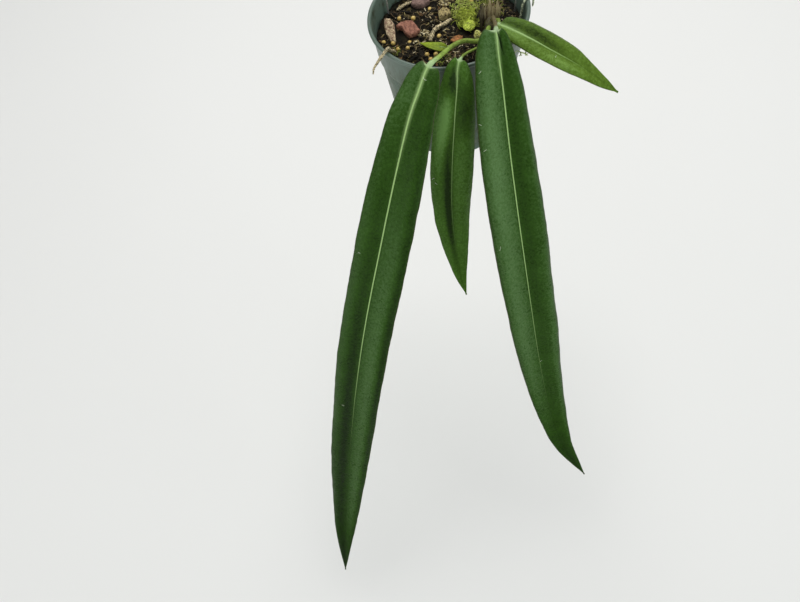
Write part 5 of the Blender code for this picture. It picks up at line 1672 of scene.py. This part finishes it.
def build_feathers(looks):
    """Thin pale branches with short curls at the end of the front root."""
    rng = random.Random(61)
    shape = Shape()
    for points in FEATHERS:
        route = route_through(*points)
        radii = [(FEATHER_RADIUS - FEATHER_THINNING * i / (FEATHER_STEPS - 1)) * MM
                 for i in range(FEATHER_STEPS)]
        shape.tube(route.even(FEATHER_STEPS), radii, 8, rough=0.4)
        for _ in range(FEATHER_CURLS):
            out = stray(rng, (-1, 1), (-1, 0.4), (-0.6, 0.4))
            moss_curl(shape, rng, route.place(route.length * rng.uniform(0.4, 1.0)),
                      out.normalized(), rng.uniform(1.2, 2.6), rng.uniform(0.16, 0.26) * MM)
    finish = layered("root_feathers", 0.8, shaded(looks.root_fresh, 0.85),
                     ((1.6, 3, 0.6), (0.4, 0.6), looks.root_fresh))
    shape.show("root_feathers", finish, "root_pale")


Bark = namedtuple("Bark", "outline centre floor thickness slot colour dark seed grain")
BARK_SIDES = 96

# Share of the thickness and scale of the outline at each step up a slab's edge
BARK_EDGE = ((0.0, 0.97), (0.2, 1.0), (0.6, 1.0))
BARK_ROWS = 14

BARKS = {
    "bark_red": Bark([(-9.4, 5.8), (-5.2, 8.0), (1.0, 7.9), (4.8, 5.6), (6.2, 0.0), (7.4, -6.4),
                      (3.4, -9.4), (-2.2, -9.2), (-4.4, -4.6), (-5.4, 1.2)],
                     (-30.3, 8.3), -15.8, 5.0, "bark_red", (0.31, 0.135, 0.085),
                     (0.15, 0.055, 0.035), 1, 0.5),
    "bark_mauve": Bark([(-8.5, 1.0), (-5.0, 6.0), (3.0, 7.0), (8.5, 3.5), (6.5, -3.0),
                        (0.5, -6.2), (-5.5, -4.0)],
                       (-13.0, 37.5), -17.4, 5.0, "bark_mauve", (0.2, 0.12, 0.1),
                       (0.07, 0.04, 0.03), 2, 0.5),
    "bark_strip": Bark([(-2.0, 15.5), (2.5, 13.5), (4.2, 5.0), (2.6, -5.0), (0.8, -14.0),
                        (-2.8, -13.0), (-4.4, -4.0), (-4.0, 7.0)],
                       (-44.4, 14.0), -17.6, 4.0, "bark_mauve", (0.5, 0.4, 0.25),
                       (0.13, 0.05, 0.035), 3, 1.7),
    "bark_orange": Bark([(-5.2, 0.5), (-2.0, 2.8), (3.0, 3.2), (5.2, 0.6), (3.0, -2.6),
                         (-3.4, -2.8)],
                        (2.3, -17.0), -15.8, 2.6, "bark_orange", (0.42, 0.17, 0.045),
                        (0.12, 0.05, 0.02), 4, 0.7),
    "cork_lump": Bark([(-5.0, -2.0), (-4.2, 3.0), (0.0, 5.4), (4.6, 3.2), (5.2, -1.8),
                       (1.0, -5.0), (-3.0, -4.6)],
                      (0.4, 13.2), -15.4, 5.5, "cork", (0.5, 0.4, 0.18),
                      (0.06, 0.04, 0.016), 6, 2.4),
}


def bark_line(outline, count):
    """A closed line through the outline's points, only a little rounded."""
    points = [Vector(p) for p in outline]
    ring = []
    for i in range(count):
        t = len(points) * i / count
        k = int(t)
        around = [points[(k + m) % len(points)] for m in (-1, 0, 1, 2)]
        ring.append(spline_point(around, 1, t - k).lerp(around[1].lerp(around[2], t - k), 0.85))
    return ring


def bark_finish(name, bark):
    grain = (1.6, 4, 0.7, (1.0, 0.45, 2.0))
    return layered(name, 0.85, bark.dark,
                   (grain, (0.38, 0.6), bark.colour),
                   ((3.5, 3), (0.5, 0.72, 0.0, 0.7), shaded(bark.colour, 1.5, 0.03)),
                   bump=(grain, (0.5, 3), 0.4, 0.9))


def build_bark_piece(name, bark):
    """An uneven slab with a broken, worn edge, flat below."""
    shape = Shape()
    line = bark_line(bark.outline, BARK_SIDES)
    centre = at(*bark.centre, bark.floor + 0.3)

    def top_height(x, y):
        return bark.thickness * (0.86 + 0.1 * lump(x * 0.3, y * 0.3, bark.seed))

    def ring(scale, height_at):
        made = []
        for spot in line:
            wide = scale * (1.0 + 0.05 * lump(spot.x * 0.9, spot.y * 0.9, bark.seed * 5.0))
            x, y = spot.x * wide, spot.y * wide
            made.append(shape.point(centre + Vector((x, y, height_at(x, y))) * MM))
        return made

    rings = [ring(scale, lambda x, y: bark.thickness * rise) for rise, scale in BARK_EDGE]
    for row in range(BARK_ROWS):
        inward = row / BARK_ROWS

        def height_at(x, y):
            ridge = lump(x * 0.9, y * 1.6, bark.seed + 4.0)
            height = top_height(x, y) + 0.5 * bark.grain * ridge
            return height * (0.9 + 0.1 * smooth_step(inward, 0.0, 0.25))

        rings.append(ring(0.93 - 0.93 * inward ** 1.2, height_at))
    shape.chain(rings)
    shape.cap(rings[0][::-1], centre)
    shape.cap(rings[-1], centre + UP * top_height(0, 0) * MM)
    shape.show("chunk_" + name, bark_finish("finish_" + name, bark), bark.slot, name, sharp=55)


class ANTHURIUM_OT_add_litter(bpy.types.Operator):
    """Add the roots and the larger pieces of bark and cork"""
    bl_idname = "anthurium.add_litter"
    bl_label = "Roots and bark"

    def execute(self, context):
        build_roots(context.scene.anthurium_growth)
        build_feathers(context.scene.anthurium_growth)
        for name, bark in BARKS.items():
            build_bark_piece(name, bark)
        return {"FINISHED"}


# Panel and registration

GROUPS = (
    ("anthurium_stage", StageLooks, "Stage"),
    ("anthurium_leaf", LeafLooks, "Leaves"),
    ("anthurium_pot", PotLooks, "Pot"),
    ("anthurium_mix", MixLooks, "Bark mix"),
    ("anthurium_growth", GrowthLooks, "Moss and roots"),
)

OPERATORS = (
    ANTHURIUM_OT_add_stage,
    ANTHURIUM_OT_add_pot,
    ANTHURIUM_OT_add_mix,
    ANTHURIUM_OT_add_leaves,
    ANTHURIUM_OT_add_crown,
    ANTHURIUM_OT_add_litter,
)


class ANTHURIUM_PT_sidebar(bpy.types.Panel):
    """Buttons for each piece, and the sizes and colours they use"""
    bl_label = "Anthurium"
    bl_idname = "ANTHURIUM_PT_sidebar"
    bl_space_type = "VIEW_3D"
    bl_region_type = "UI"
    bl_category = "Anthurium"

    def draw(self, context):
        for operator in OPERATORS:
            self.layout.operator(operator.bl_idname)
        for attribute, group, label in GROUPS:
            box = self.layout.box()
            box.label(text=label)
            for name in group.__annotations__:
                box.prop(getattr(context.scene, attribute), name)


def register():
    for attribute, group, _ in GROUPS:
        bpy.utils.register_class(group)
        setattr(bpy.types.Scene, attribute, PointerProperty(type=group))
    for each in (*OPERATORS, ANTHURIUM_PT_sidebar):
        bpy.utils.register_class(each)


def unregister():
    for each in (ANTHURIUM_PT_sidebar, *reversed(OPERATORS)):
        bpy.utils.unregister_class(each)
    for attribute, group, _ in reversed(GROUPS):
        delattr(bpy.types.Scene, attribute)
        bpy.utils.unregister_class(group)


def main():
    register()
    bpy.ops.anthurium.add_stage()
    bpy.ops.anthurium.add_pot()
    bpy.ops.anthurium.add_mix()
    bpy.ops.anthurium.add_leaves()
    bpy.ops.anthurium.add_crown()
    bpy.ops.anthurium.add_litter()


if __name__ == "__main__":
    main()
